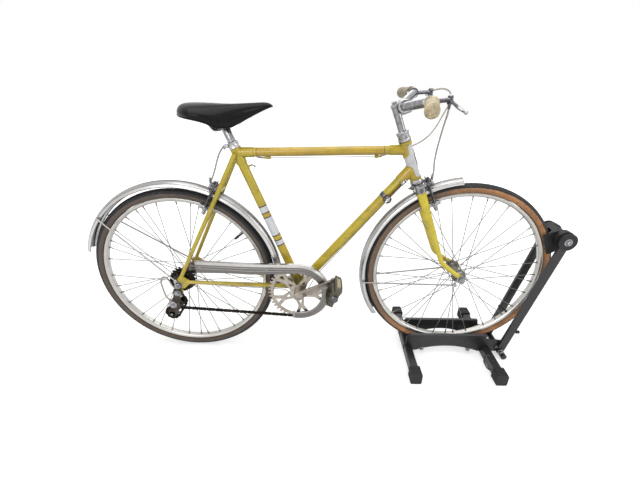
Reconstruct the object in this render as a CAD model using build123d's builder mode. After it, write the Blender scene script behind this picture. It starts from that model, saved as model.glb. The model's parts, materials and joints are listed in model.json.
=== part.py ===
from build123d import *
import os
from math import acos, atan2, cos, degrees, hypot, pi, radians, sin, sqrt, tan

# A junior road bicycle on a black floor stand that holds its front wheel.
# +X is the bicycle's front, -Y its drive side, +Z up, with the floor at z = 0.
# Lengths are in millimetres. Places along X are first given from the rear axle,
# and at() moves them into the frame, whose origin is on the floor mid-way.

os.makedirs("parts", exist_ok=True)

# ---------------------------------------------------------------- dimensions
wheel_r = 275.0              # outside of the tyre
tyre_r = 15.0                # radius of the tyre's round section
rim_outer_r = 248.9
rim_inner_r = 238.5
rim_half_width = 10.5
spoke_r = 0.95
spoke_count = 36

wheelbase = 827.7
front_lift = 20.3            # the stand carries the front wheel clear of the floor
guard_r = 298.5              # crest of the rear mudguard
front_guard_r = 292.0
guard_drop = 16.0            # from a guard's crest to its edges
guard_half_width = 18.0
guard_skin = 1.2

bb_x, bb_z = 351.5, 241.0
bb_shell_r = 19.0
bb_shell_half = 34.0
seat_lean = radians(110.75)
seat_tube_len = 447.0
seat_tube_r = 12.7
frame_tube_r = 11.8          # top tube
down_tube_r = 14.0
head_tube_r = 14.5
head_top_x, head_top_z = 633.6, 678.2
head_low_x, head_low_z = 674.8, 574.6
steerer_r = 11.0
stay_r = 6.6
chain_stay_r = 7.6
rear_half_gap = 60.0         # between the rear dropouts, from the middle
front_half_gap = 45.0
dropout_t = 5.0

chain_y = 43.0               # chain line, from the middle
chain_pitch = 12.7
ring_teeth = 44
roller_r = 4.1
crank_len = 117.0
crank_lift = radians(26.0)
crank_inner_y = 58.5
crank_t = 10.0
pedal_gap = 5.0
pedal_len = 76.0
pedal_width = 56.0
pedal_t = 24.0
pedal_tip = radians(62.0)

stem_clamp_x, stem_clamp_z = 622.0, 763.5
bar_r = 11.0
grip_r = 14.5

stand_bar_back_x, stand_bar_front_x = 706.0, 958.0
stand_half_width = 165.0
rail_y = 36.0
disc_x, disc_z, disc_r = 1096.0, 419.0, 26.0

running_gap = 0.06           # radial clearance of a shaft in its bore

# The whole length runs from the rear mudguard's tail to the stand's rollers.
guard_tail_a = radians(163.0)
back_reach = -guard_r * cos(guard_tail_a)
front_reach = disc_x + disc_r
rear_x = (back_reach - front_reach) / 2


# ---------------------------------------------------------------- helpers
def at(x, y, z):
    """A point whose x is given from the rear axle."""
    return Vector(rear_x + x, y, z)


def save(shape, name):
    """Label a finished piece and write it as its own file."""
    shape.label = name
    export_step(shape, f"parts/{name}.step")


def rod(a, b, r, mode=Mode.ADD):
    """A round bar from point a to point b, in the current piece."""
    with BuildSketch(Plane(origin=a, z_dir=b - a)) as section:
        Circle(r)
    extrude(section.sketch, amount=(b - a).length, mode=mode)


def taper(a, b, r_a, r_b, mode=Mode.ADD):
    """A round bar whose radius goes evenly from r_a at a to r_b at b."""
    with BuildSketch(Plane(origin=a, z_dir=b - a)) as start:
        Circle(r_a)
    with BuildSketch(Plane(origin=b, z_dir=b - a)) as end:
        Circle(r_b)
    loft([start.sketch, end.sketch], ruled=True, mode=mode)


def bent_rod(points, radii, r, mode=Mode.ADD):
    """A round bar along straight runs joined by arcs."""
    with BuildLine() as path:
        FilletPolyline(*points, radius=radii)
    with BuildSketch(Plane(origin=path.line @ 0, z_dir=path.line % 0)) as section:
        Circle(r)
    sweep(section.sketch, path=path.line, mode=mode)


def side_plane(y):
    """The plane facing the drive side at y, with local x = X from the rear axle and local y = Z."""
    return Plane(origin=(rear_x, y, 0), x_dir=(1, 0, 0), z_dir=(0, -1, 0))


def radial_plane(centre, angle):
    """A plane through a wheel's axis: local x points out from the axis, local y is +Y."""
    out = Vector(cos(angle), 0, sin(angle))
    return Plane(origin=centre, x_dir=out, z_dir=Vector(-sin(angle), 0, cos(angle)))


def wheel_axis(centre):
    """The axis that turns +X towards +Z about a wheel's centre."""
    return Axis(centre, (0, -1, 0))


def polar(centre, r, angle, y=0.0):
    """A point at radius r and angle a round a wheel's centre."""
    return Vector(centre.X + r * cos(angle), y, centre.Z + r * sin(angle))


def belt(wheels, shift):
    """Lines and arcs of a closed belt round (x, z, r, turn) wheels, moved outwards by shift.

    turn is 1 where the belt goes round against the clock, -1 where it goes with it.
    """
    count = len(wheels)
    touch_in = [None] * count
    touch_out = [None] * count
    for i in range(count):
        j = (i + 1) % count
        xa, za, ra, ta = wheels[i]
        xb, zb, rb, tb = wheels[j]
        ra = ra + ta * shift
        rb = rb + tb * shift
        q = tb * rb - ta * ra
        gap = hypot(xb - xa, zb - za)
        heading = atan2(zb - za, xb - xa) - atan2(q, sqrt(gap * gap - q * q))
        right = (sin(heading), -cos(heading))
        touch_out[i] = (xa + ta * ra * right[0], za + ta * ra * right[1])
        touch_in[j] = (xb + tb * rb * right[0], zb + tb * rb * right[1])
    for i in range(count):
        x, z, r, turn = wheels[i]
        r = r + turn * shift
        start = degrees(atan2(touch_in[i][1] - z, touch_in[i][0] - x))
        end = degrees(atan2(touch_out[i][1] - z, touch_out[i][0] - x))
        sweep_angle = (end - start) % 360 if turn > 0 else -((start - end) % 360)
        CenterArc((x, z), r, start, sweep_angle)
        Line(touch_out[i], touch_in[(i + 1) % count])


def toothed_disc(teeth, bore_r):
    """A sprocket's outline about the current location, for the current sketch."""
    pitch_r = chain_pitch / (2 * sin(pi / teeth))
    Circle(pitch_r + 3.0)
    with PolarLocations(pitch_r, teeth, start_angle=180 / teeth):
        Circle(roller_r, mode=Mode.SUBTRACT)
    Circle(bore_r, mode=Mode.SUBTRACT)


# ---------------------------------------------------------------- main points
rear_axle = at(0, 0, wheel_r)
front_axle = at(wheelbase, 0, wheel_r + front_lift)
bb = at(bb_x, 0, bb_z)
seat_dir = Vector(cos(seat_lean), 0, sin(seat_lean))
seat_top = bb + seat_dir * seat_tube_len
head_top = at(head_top_x, 0, head_top_z)
head_low = at(head_low_x, 0, head_low_z)
steer_dir = (head_top - head_low).normalized()
steer_out = Vector(steer_dir.Z, 0, -steer_dir.X)
top_tube_back = bb + seat_dir * (seat_tube_len - 11)
top_tube_front = head_top - steer_dir * 23
down_tube_front = head_low + steer_dir * 39


def on_steer(along, out=0.0, y=0.0):
    """A point given along the steering axis above the head tube's foot, and in front of it."""
    return head_low + steer_dir * along + steer_out * out + Vector(0, y, 0)


head_len = (head_top - head_low).length


# ================================================================ fork
crown_h = 20.0
crown_low = -24.0            # foot of the crown, along the steering axis from the head's foot
blade_crown_y = 29.0
blade_bend = on_steer(-225.0)
blade_bend_y = 40.0
blade_tip_r = 6.0


def make_blade(side):
    """One fork blade: an oval taper, a forward bend and a flat tip for the axle."""
    top = on_steer(crown_low + 11.5, 0, side * blade_crown_y)
    knee = blade_bend + Vector(0, side * blade_bend_y, 0)
    tip = front_axle + Vector(0, side * (front_half_gap + dropout_t / 2), 0)
    toe = tip + (knee - tip).normalized() * 14
    lead = (top - knee).normalized()
    with BuildPart() as blade:
        with BuildSketch(Plane(origin=top, x_dir=(0, 1, 0), z_dir=lead)) as socket:
            Circle(9.3)
        extrude(socket.sketch, amount=-14)
        with BuildSketch(Plane(origin=top - lead * 13, x_dir=(0, 1, 0), z_dir=lead)) as upper:
            Ellipse(8.2, 12.6)
        with BuildSketch(Plane(origin=knee, x_dir=(0, 1, 0), z_dir=lead)) as lower:
            Circle(blade_tip_r + 0.6)
        loft([upper.sketch, lower.sketch], ruled=True)
        bent_rod([knee + lead * 2, knee - lead * 22, toe], 46.0, blade_tip_r + 0.6)
        tip_plane = Plane(origin=tip + Vector(0, dropout_t / 2, 0), x_dir=(1, 0, 0), z_dir=(0, -1, 0))
        with BuildSketch(tip_plane) as plate:
            Circle(9.5)
            with BuildLine():
                Polyline((-9.5, 2), (-19, 15), (-9, 21), (7, 6), close=True)
            make_face()
        extrude(plate.sketch, amount=dropout_t)
        rod(tip - Vector(0, 8, 0), tip + Vector(0, 8, 0), 4.5 + running_gap, mode=Mode.SUBTRACT)
    return blade.part


blade_right = make_blade(-1)
blade_left = make_blade(1)
save(blade_right, "fork_blade_right")
save(blade_left, "fork_blade_left")

with BuildPart() as fork_crown:
    rod(on_steer(crown_low + 2), on_steer(head_len + 26), steerer_r)
    rod(on_steer(-5), on_steer(-1.5), 15.5)
    with BuildSketch(Plane(origin=on_steer(crown_low), x_dir=steer_out, z_dir=steer_dir)) as block:
        SlotOverall(2 * blade_crown_y + 26, 27, rotation=90)
    extrude(block.sketch, amount=crown_h)
    rod(on_steer(head_len + 11), on_steer(head_len + 18), 15.0)
    with BuildSketch(Plane(origin=on_steer(head_len + 18), x_dir=(0, 1, 0), z_dir=steer_dir)) as nut:
        RegularPolygon(16.5, 8)
    extrude(nut.sketch, amount=8)
    for blade in (blade_right, blade_left):
        add(blade, mode=Mode.SUBTRACT)
save(fork_crown.part, "fork_crown")

front_nut_y = front_half_gap + dropout_t
with BuildPart() as front_axle_rod:
    rod(front_axle - Vector(0, front_nut_y + 13, 0), front_axle + Vector(0, front_nut_y + 13, 0), 4.5)
    for side in (-1, 1):
        rod(front_axle + Vector(0, side * (front_half_gap - 8), 0),
            front_axle + Vector(0, side * front_half_gap, 0), 8.0)
        nut_seat = front_axle + Vector(0, side * front_nut_y, 0)
        with BuildSketch(Plane(origin=nut_seat, z_dir=(0, side, 0))) as nut:
            RegularPolygon(9.0, 6)
        extrude(nut.sketch, amount=8)
save(front_axle_rod.part, "front_axle")

# ---------------------------------------------------------------- stem and bar
def turned(x, y, z):
    """A point of the handlebar, whose left end stands a little forward and higher than its right."""
    return at(x + 0.048 * y, y, z + 0.058 * y)


stem_foot = on_steer(head_len + 26)
stem_top = on_steer(head_len + 90)
clamp = at(stem_clamp_x, 0, stem_clamp_z)
clamp_half = turned(stem_clamp_x, 15, stem_clamp_z) - clamp
with BuildPart() as stem:
    rod(stem_foot, stem_top, 10.0)
    rod(stem_top - steer_dir * 3, stem_top + steer_dir * 5, 11.0)
    rod(stem_top + steer_dir * 4, stem_top + steer_dir * 10, 5.0)
    rod(stem_top - steer_dir * 7, clamp, 8.5)
    rod(stem_top - steer_dir * 24, clamp - steer_dir * 8, 6.5)
    rod(clamp - clamp_half, clamp + clamp_half, 15.5)
    rod(clamp - clamp_half * 1.2, clamp + clamp_half * 1.2, bar_r + 1.0, mode=Mode.SUBTRACT)
save(stem.part, "stem")

bar_points = [(stem_clamp_x, 0, stem_clamp_z), (stem_clamp_x, 24, stem_clamp_z),
              (663.3, 105, 784.1), (643.6, 201.0, 776.2)]
bar_bends = [50.0, 40.0]
grip_start = 0.26            # share of the last run that is in front of the grip


def bar_side(side):
    """The handlebar's corner points on one side."""
    return [turned(x, side * y, z) for x, y, z in bar_points]


with BuildPart() as handlebar:
    for side in (-1, 1):
        bent_rod(bar_side(side), bar_bends, bar_r - 0.1)
    rod(clamp - clamp_half, clamp + clamp_half, bar_r + 0.9)
save(handlebar.part, "handlebar")


def make_grip(side):
    """A soft sleeve with a closed, rounded end."""
    corner, end = bar_side(side)[-2:]
    run = end - corner
    start = corner + run * grip_start
    lead = run.normalized()
    with BuildPart() as grip:
        rod(start, end, grip_r)
        rod(start, start + lead * 4, grip_r + 1.5)
        rod(end - lead * 8, end + lead * 5, grip_r + 0.8)
        fillet(grip.faces().sort_by(Axis(end, lead))[-1].edges(), 11.0)
        rod(start - lead * 2, end, bar_r, mode=Mode.SUBTRACT)
    return grip.part


for side, name in ((-1, "right"), (1, "left")):
    save(make_grip(side), f"grip_{name}")


def make_lever(side):
    """A brake lever: clamp band on the bar's bend, hooded bracket and slightly curved blade."""
    before, corner, end = bar_side(side)[-3:]
    lead_in, lead_out = (corner - before).normalized(), (end - corner).normalized()
    half_turn = radians(lead_in.get_angle(lead_out)) / 2
    seat = corner + (lead_out - lead_in).normalized() * bar_bends[1] * (1 / cos(half_turn) - 1)
    lead = (lead_in + lead_out).normalized()
    pivot = turned(704.7, side * 96, 786.5)
    knee = turned(714, side * 134, 775)
    tip = turned(713.7, side * 184, 772.5)
    ahead = (pivot - seat).normalized()
    with BuildPart() as lever:
        rod(seat - lead * 5, seat + lead * 5, bar_r + 2.2)
        rod(seat + ahead * 9, pivot, 4.8)
        rod(pivot - Vector(0, 0, 9), pivot + Vector(0, 0, 8), 6.0)
        bent_rod([pivot, knee, tip], 60.0, 4.2)
        rod(tip, tip + (tip - knee).normalized() * 3, 5.2)
        add(handlebar.part, mode=Mode.SUBTRACT)
    return lever.part


for side, name in ((-1, "right"), (1, "left")):
    save(make_lever(side), f"brake_lever_{name}")


# ---------------------------------------------------------------- mudguards
def guard_band(centre, crest_r, start, end):
    """A thin round-backed mudguard from angle start to angle end."""
    edge_r = crest_r - guard_drop
    inner_half = guard_half_width - guard_skin
    with BuildSketch(radial_plane(centre, start)) as section:
        with BuildLine():
            ThreePointArc((edge_r, -guard_half_width), (crest_r, 0), (edge_r, guard_half_width))
            Line((edge_r, guard_half_width), (edge_r, inner_half))
            ThreePointArc((edge_r, inner_half), (crest_r - guard_skin, 0), (edge_r, -inner_half))
            Line((edge_r, -inner_half), (edge_r, -guard_half_width))
        make_face()
    revolve(section.sketch, axis=wheel_axis(centre), revolution_arc=degrees(end - start))


front_guard_start, front_guard_end = radians(96.3), radians(212.0)
rear_guard_start, rear_guard_end = radians(-5.0), guard_tail_a
stay_wire_r = 2.2

with BuildPart() as front_mudguard:
    guard_band(front_axle, front_guard_r, front_guard_start, front_guard_end)
save(front_mudguard.part, "front_mudguard")

front_stay_a = radians(186.5)
with BuildPart() as front_mudguard_stay:
    for side in (-1, 1):
        eyelet = front_axle + Vector(-16, side * (front_nut_y + 2.4), -17)
        rim_end = polar(front_axle, front_guard_r - guard_drop + 8, front_stay_a,
                        side * (guard_half_width + 3.2))
        rod(eyelet, rim_end, stay_wire_r)
        rod(eyelet - Vector(0, side * 2.3, 0), eyelet + Vector(0, side * 2.3, 0), 5.0)
        rod(rim_end - Vector(0, side * 4.5, 0), rim_end + Vector(0, side * 2.5, 0), 3.6)
    add(front_mudguard.part, mode=Mode.SUBTRACT)
    add(blade_right, mode=Mode.SUBTRACT)
    add(blade_left, mode=Mode.SUBTRACT)
save(front_mudguard_stay.part, "front_mudguard_stay")


# ---------------------------------------------------------------- rim brakes
pad_gap = 5.0                # pads stand this far off the rim
pad_t = 9.0
anchor_out = 28.0            # a brake cable ends this far from its caliper's foot


def brake_caliper(base, down, ahead, reach):
    """A rim brake: bridge plate, two crossing arms with a pad at each foot, and an anchor stud."""
    pivot_y = 19.0
    rod(base + ahead * 6, base + ahead * anchor_out, 3.0)
    rod(base, base + ahead * 8, 4.5)
    rod(base + ahead * 6 - Vector(0, pivot_y, 0), base + ahead * 6 + Vector(0, pivot_y, 0), 5.0)
    for side in (-1, 1):
        out = Vector(0, side, 0)
        layer = base + ahead * (14.5 + side * 3.0)
        pivot = layer + out * pivot_y
        foot = layer + out * (rim_half_width + pad_gap + pad_t + 3) + down * reach
        elbow = layer + out * 31 + down * 20
        crest = layer - out * 13 - down * 22
        rod(base + ahead * 3 + out * pivot_y, base + ahead * 20 + out * pivot_y, 4.5)
        bent_rod([crest, layer + out * 10 - down * 9, pivot], 12.0, 2.9)
        bent_rod([pivot, elbow, foot], 16.0, 3.1)


def brake_pads(base, down, ahead, reach, axle):
    """Two rubber blocks in metal shoes beside the rim, square to its radius."""
    for side in (-1, 1):
        layer = base + ahead * (14.5 + side * 3.0)
        foot = layer + Vector(0, side * (rim_half_width + pad_gap), 0) + down * reach
        radial = foot - axle
        radial = Vector(radial.X, 0, radial.Z).normalized()
        with BuildSketch(Plane(origin=foot, x_dir=radial, z_dir=(0, side, 0))) as shoe:
            RectangleRounded(9, 34, 3)
        extrude(shoe.sketch, amount=pad_t)
        rod(foot + Vector(0, side * pad_t, 0), foot + Vector(0, side * (pad_t + 10), 0), 2.5)


front_brake_base = on_steer(crown_low + 10, 14.2)
front_brake_reach = 58.0
with BuildPart() as front_pads:
    brake_pads(front_brake_base, -steer_dir, steer_out, front_brake_reach, front_axle)
with BuildPart() as front_brake:
    brake_caliper(front_brake_base, -steer_dir, steer_out, front_brake_reach)
    add(front_pads.part)
    add(front_mudguard.part, mode=Mode.SUBTRACT)
save(front_brake.part, "front_brake")


# ================================================================ frame
head_foot = on_steer(6)
with BuildPart() as head_tube:
    rod(head_foot, head_top, head_tube_r)
    rod(head_foot - steer_dir * 1, head_top + steer_dir * 1, steerer_r + running_gap, mode=Mode.SUBTRACT)
with BuildPart() as head_blank:
    rod(on_steer(-20), on_steer(head_len + 30), head_tube_r)

lug_t = 1.6
lug_back = -17.0             # the lugs reach this far down and up the head tube at its back ...
lug_back_low, lug_back_high = head_len - 40, 50.0
lug_ring_low, lug_ring_high = head_len - 9, 14.0      # ... and are thin rings at its front
with BuildPart() as head_lugs:
    for joint, low, high, back in ((top_tube_front, head_len - 40, head_len, top_tube_back),
                                   (down_tube_front, 6, 50, bb)):
        lead = (back - joint).normalized()
        tube_r = frame_tube_r if back is top_tube_back else down_tube_r
        rod(on_steer(low), on_steer(high), head_tube_r + lug_t)
        rod(joint, joint + lead * 46, tube_r + lug_t)
        rod(joint + lead * 14, joint + lead * 60, tube_r, mode=Mode.SUBTRACT)
    add(head_blank.part, mode=Mode.SUBTRACT)
    # the bare part of the head tube lies between the two lugs
    with BuildSketch(Plane(origin=head_low, x_dir=steer_out, z_dir=(0, -1, 0))) as bare:
        with BuildLine():
            FilletPolyline((lug_back, lug_back_low - 3), (-1, lug_back_low + 8), (1, lug_ring_low),
                           (40, lug_ring_low), (40, lug_ring_high), (1, lug_ring_high),
                           (-1, lug_back_high - 8), (lug_back, lug_back_high + 3),
                           radius=[9.0, 6.0, 1.0, 1.0, 6.0, 9.0])
            Line((lug_back, lug_back_high + 3), (lug_back, lug_back_low - 3))
        make_face()
    extrude(bare.sketch, amount=40, both=True, mode=Mode.SUBTRACT)
with BuildPart() as headset_cups:
    taper(head_foot, on_steer(-1), head_tube_r, 17.0)
    taper(on_steer(head_len), on_steer(head_len + 10.4), head_tube_r, 16.5)
    rod(on_steer(-5), on_steer(head_len + 20), steerer_r + running_gap, mode=Mode.SUBTRACT)

with BuildPart() as bb_shell:
    rod(bb - Vector(0, bb_shell_half, 0), bb + Vector(0, bb_shell_half, 0), bb_shell_r)
    for side in (-1, 1):
        rod(bb + Vector(0, side * bb_shell_half, 0), bb + Vector(0, side * (bb_shell_half + 4), 0), 16.5)
    rod(bb, bb + seat_dir * 46, seat_tube_r + lug_t)
    rod(bb, bb + (down_tube_front - bb).normalized() * 46, down_tube_r + lug_t)
    for lead, r in ((seat_dir, seat_tube_r), ((down_tube_front - bb).normalized(), down_tube_r)):
        rod(bb + lead * 22, bb + lead * 60, r, mode=Mode.SUBTRACT)
    rod(bb - Vector(0, 50, 0), bb + Vector(0, 50, 0), 8.0 + running_gap, mode=Mode.SUBTRACT)
with BuildPart() as bb_blank:
    rod(bb - Vector(0, bb_shell_half + 4, 0), bb + Vector(0, bb_shell_half + 4, 0), bb_shell_r)

top_dir = (top_tube_front - top_tube_back).normalized()
with BuildPart() as seat_tube:
    rod(bb + seat_dir * 10, seat_top, seat_tube_r)
    rod(seat_top - seat_dir * 42, seat_top, seat_tube_r + lug_t)
    rod(top_tube_back, top_tube_back + top_dir * 44, frame_tube_r + lug_t)
    rod(top_tube_back + Vector(14, 0, 0), top_tube_back + top_dir * 60, frame_tube_r, mode=Mode.SUBTRACT)
    rod(seat_top - seat_dir * 60, seat_top + seat_dir * 2, 11.0 + running_gap, mode=Mode.SUBTRACT)
    add(bb_blank.part, mode=Mode.SUBTRACT)
    add(bb_shell.part, mode=Mode.SUBTRACT)
with BuildPart() as seat_blank:
    rod(bb, seat_top + seat_dir * 20, seat_tube_r)

with BuildPart() as top_tube:
    rod(top_tube_back, top_tube_front, frame_tube_r)
    for blank in (head_blank, head_lugs, seat_blank, seat_tube):
        add(blank.part, mode=Mode.SUBTRACT)
with BuildPart() as down_tube:
    rod(bb, down_tube_front, down_tube_r)
    for blank in (head_blank, head_lugs, bb_blank, bb_shell, seat_blank, seat_tube):
        add(blank.part, mode=Mode.SUBTRACT)

rear_nut_y = rear_half_gap + dropout_t


def make_dropout(side):
    """A flat plate that holds one end of the rear axle; the right one also hangs the gear."""
    with BuildPart() as plate:
        with BuildSketch(Plane(origin=(rear_x, side * rear_half_gap, 0), x_dir=(1, 0, 0), z_dir=(0, -1, 0))):
            with BuildLine():
                Polyline((-9, wheel_r - 12), (16, wheel_r - 12), (34, wheel_r + 5), (33, wheel_r + 13),
                         (15, wheel_r + 27), (4, wheel_r + 26), (-9, wheel_r + 9), close=True)
            make_face()
            if side < 0:
                with BuildLine():
                    Polyline((6, wheel_r), (8, wheel_r - 30), (-14, wheel_r - 30), (-10, wheel_r), close=True)
                make_face()
        extrude(amount=-side * dropout_t)
        rod(rear_axle + Vector(0, side * 40, 0), rear_axle + Vector(0, side * 80, 0), 5.0 + running_gap,
            mode=Mode.SUBTRACT)
    return plate.part


dropouts = {"right": make_dropout(-1), "left": make_dropout(1)}


def make_chain_stay(side, plate):
    """A lower stay from the bottom bracket, with the dropout plate brazed to its end."""
    start = bb + Vector(-8, side * 15, 2)
    end = rear_axle + Vector(24, side * (rear_half_gap + dropout_t / 2), 9)
    with BuildPart() as stay:
        taper(start, end, chain_stay_r, 5.4)
        add(plate)
        for blank in (bb_blank, bb_shell, seat_blank):
            add(blank.part, mode=Mode.SUBTRACT)
    return stay.part


def make_seat_stay(side, chain_stay):
    """An upper stay from a dropout to the seat lug."""
    start = rear_axle + Vector(9, side * (rear_half_gap + dropout_t / 2), 22)
    end = seat_top - seat_dir * 12 + Vector(-2, side * 17.5, 0)
    with BuildPart() as stay:
        taper(start, end, 5.4, stay_r)
        for blank in (seat_blank.part, seat_tube.part, chain_stay):
            add(blank, mode=Mode.SUBTRACT)
    return stay.part


chain_stays = {}
seat_stays = {}
for side, name in ((-1, "right"), (1, "left")):
    chain_stays[name] = make_chain_stay(side, dropouts[name])
    seat_stays[name] = make_seat_stay(side, chain_stays[name])

stay_foot = rear_axle + Vector(9, 0, 22)
stay_head = seat_top - seat_dir * 12 + Vector(-2, 0, 0)
stay_dir = (stay_head - stay_foot).normalized()
stay_back = Vector(-stay_dir.Z, 0, stay_dir.X)
bridge = stay_foot + stay_dir * 284
bridge_half = 29.0
with BuildPart() as bridged_stay:
    add(seat_stays["left"])
    rod(bridge - Vector(0, bridge_half, 0), bridge + Vector(0, bridge_half, 0), 5.0)
    add(seat_stays["right"], mode=Mode.SUBTRACT)
seat_stays["left"] = bridged_stay.part

for shape, name in ((head_tube.part, "head_tube"), (head_lugs.part, "head_lugs"),
                    (headset_cups.part, "headset_cups"), (bb_shell.part, "bottom_bracket_shell"),
                    (seat_tube.part, "seat_tube"), (top_tube.part, "top_tube"),
                    (down_tube.part, "down_tube")):
    save(shape, name)
for name in ("right", "left"):
    save(chain_stays[name], f"chain_stay_{name}")
    save(seat_stays[name], f"seat_stay_{name}")

with BuildPart() as rear_axle_rod:
    rod(rear_axle - Vector(0, rear_nut_y + 14, 0), rear_axle + Vector(0, rear_nut_y + 14, 0), 5.0)
    rod(rear_axle - Vector(0, rear_half_gap, 0), rear_axle - Vector(0, rear_half_gap - 2.4, 0), 9.0)
    rod(rear_axle + Vector(0, rear_half_gap - 16, 0), rear_axle + Vector(0, rear_half_gap, 0), 9.0)
    for side in (-1, 1):
        nut_seat = rear_axle + Vector(0, side * rear_nut_y, 0)
        with BuildSketch(Plane(origin=nut_seat, z_dir=(0, side, 0))) as nut:
            RegularPolygon(9.5, 6)
        extrude(nut.sketch, amount=8)
save(rear_axle_rod.part, "rear_axle")

# ---------------------------------------------------------------- seat
post_top = seat_top + seat_dir * 66
saddle_skin = 5.0
rail_points = [(-75, 24, 45), (-70, 24, 6), (-26, 22, -12), (-3, 21, -12), (26, 20, 8), (92, 8, 34),
               (100, 6, 46)]
rail_bends = [12.0, 20.0, 16.0, 20.0, 8.0]
collar_dir = seat_dir * 9 + Vector(-15, 0, 0)
with BuildPart() as seatpost:
    rod(seat_top - seat_dir * 58, post_top, 11.0)
    rod(post_top + Vector(0, -24, -2), post_top + Vector(0, 24, -2), 7.5)
    for side in (-1, 1):
        bent_rod([post_top + Vector(x, side * y, z) for x, y, z in rail_points], rail_bends, 3.5)
    # the split collar that grips the post above the seat lug, with its pinch bolt behind
    rod(seat_top + seat_dir * 0.6, seat_top + seat_dir * 18, 14.6)
    rod(seat_top + collar_dir - Vector(0, 9, 0), seat_top + collar_dir + Vector(0, 9, 0), 6.0)
    add(seat_tube.part, mode=Mode.SUBTRACT)
save(seatpost.part, "seatpost")


def saddle_block(inset, floor):
    """The saddle's outline from the side and from above, drawn in by inset, with its low edge at floor."""
    with BuildPart() as block:
        with BuildSketch(side_plane(-80)) as side_view:
            with BuildLine():
                top_line = Spline((62 + inset, 744 - inset), (66 + inset, 759 - inset), (94, 770 - inset),
                                  (140, 769.5 - inset), (180, 767.5 - inset), (240, 769 - inset),
                                  (284, 771 - inset), (297 - inset, 765 - inset))
                Polyline(top_line @ 1, (292 - inset, 760 - floor), (250, 741 - floor), (212, 723 - floor),
                         (198, 714 - floor), (166, 713 - floor), (150, 722 - floor), (134, 729 - floor),
                         (97, 736 - floor), (80, 740 - floor), top_line @ 0)
            make_face()
        extrude(side_view.sketch, amount=-160)
        with BuildSketch(Plane.XY.offset(680)) as plan:
            with BuildLine():
                half = [(62 + inset, 0), (67 + inset, 24 - inset), (80 + inset, 47 - inset),
                        (104, 67 - inset), (140, 64 - inset), (190, 37 - inset), (250, 19 - inset),
                        (289 - inset, 13 - inset), (298 - inset, 0)]
                edge = Spline(*[(rear_x + x, y) for x, y in half])
                mirror(edge, about=Plane.XZ)
            make_face()
        extrude(plan.sketch, amount=120, mode=Mode.INTERSECT)
    return block.part


with BuildPart() as saddle:
    add(saddle_block(0, 0))
    add(saddle_block(saddle_skin, 12), mode=Mode.SUBTRACT)
    add(seatpost.part, mode=Mode.SUBTRACT)
save(saddle.part, "saddle")

# ---------------------------------------------------------------- rear mudguard and brake
with BuildPart() as rear_mudguard:
    guard_band(rear_axle, guard_r, rear_guard_start, rear_guard_end)
    add(bb_shell.part, mode=Mode.SUBTRACT)
save(rear_mudguard.part, "rear_mudguard")

rear_stay_a = radians(139.0)
with BuildPart() as rear_mudguard_stay:
    for side in (-1, 1):
        eyelet = rear_axle + Vector(-5, side * (rear_nut_y + 2.6), 14)
        rim_end = polar(rear_axle, guard_r - guard_drop + 8, rear_stay_a,
                        side * (guard_half_width + 3.2))
        rod(eyelet, rim_end, stay_wire_r)
        rod(eyelet - Vector(0, side * 2.5, 0), eyelet + Vector(0, side * 2.5, 0), 5.0)
        rod(rim_end - Vector(0, side * 4.5, 0), rim_end + Vector(0, side * 2.5, 0), 3.6)
    for piece in (rear_mudguard.part, rear_axle_rod.part, chain_stays["right"], chain_stays["left"]):
        add(piece, mode=Mode.SUBTRACT)
save(rear_mudguard_stay.part, "rear_mudguard_stay")

rear_brake_base = bridge + stay_back * 5.4
rear_brake_reach = 62.0
with BuildPart() as rear_pads:
    brake_pads(rear_brake_base, -stay_dir, stay_back, rear_brake_reach, rear_axle)
with BuildPart() as rear_brake:
    brake_caliper(rear_brake_base, -stay_dir, stay_back, rear_brake_reach)
    add(rear_pads.part)
    for piece in (rear_mudguard.part, seat_stays["right"], seat_stays["left"]):
        add(piece, mode=Mode.SUBTRACT)
save(rear_brake.part, "rear_brake")


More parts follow.
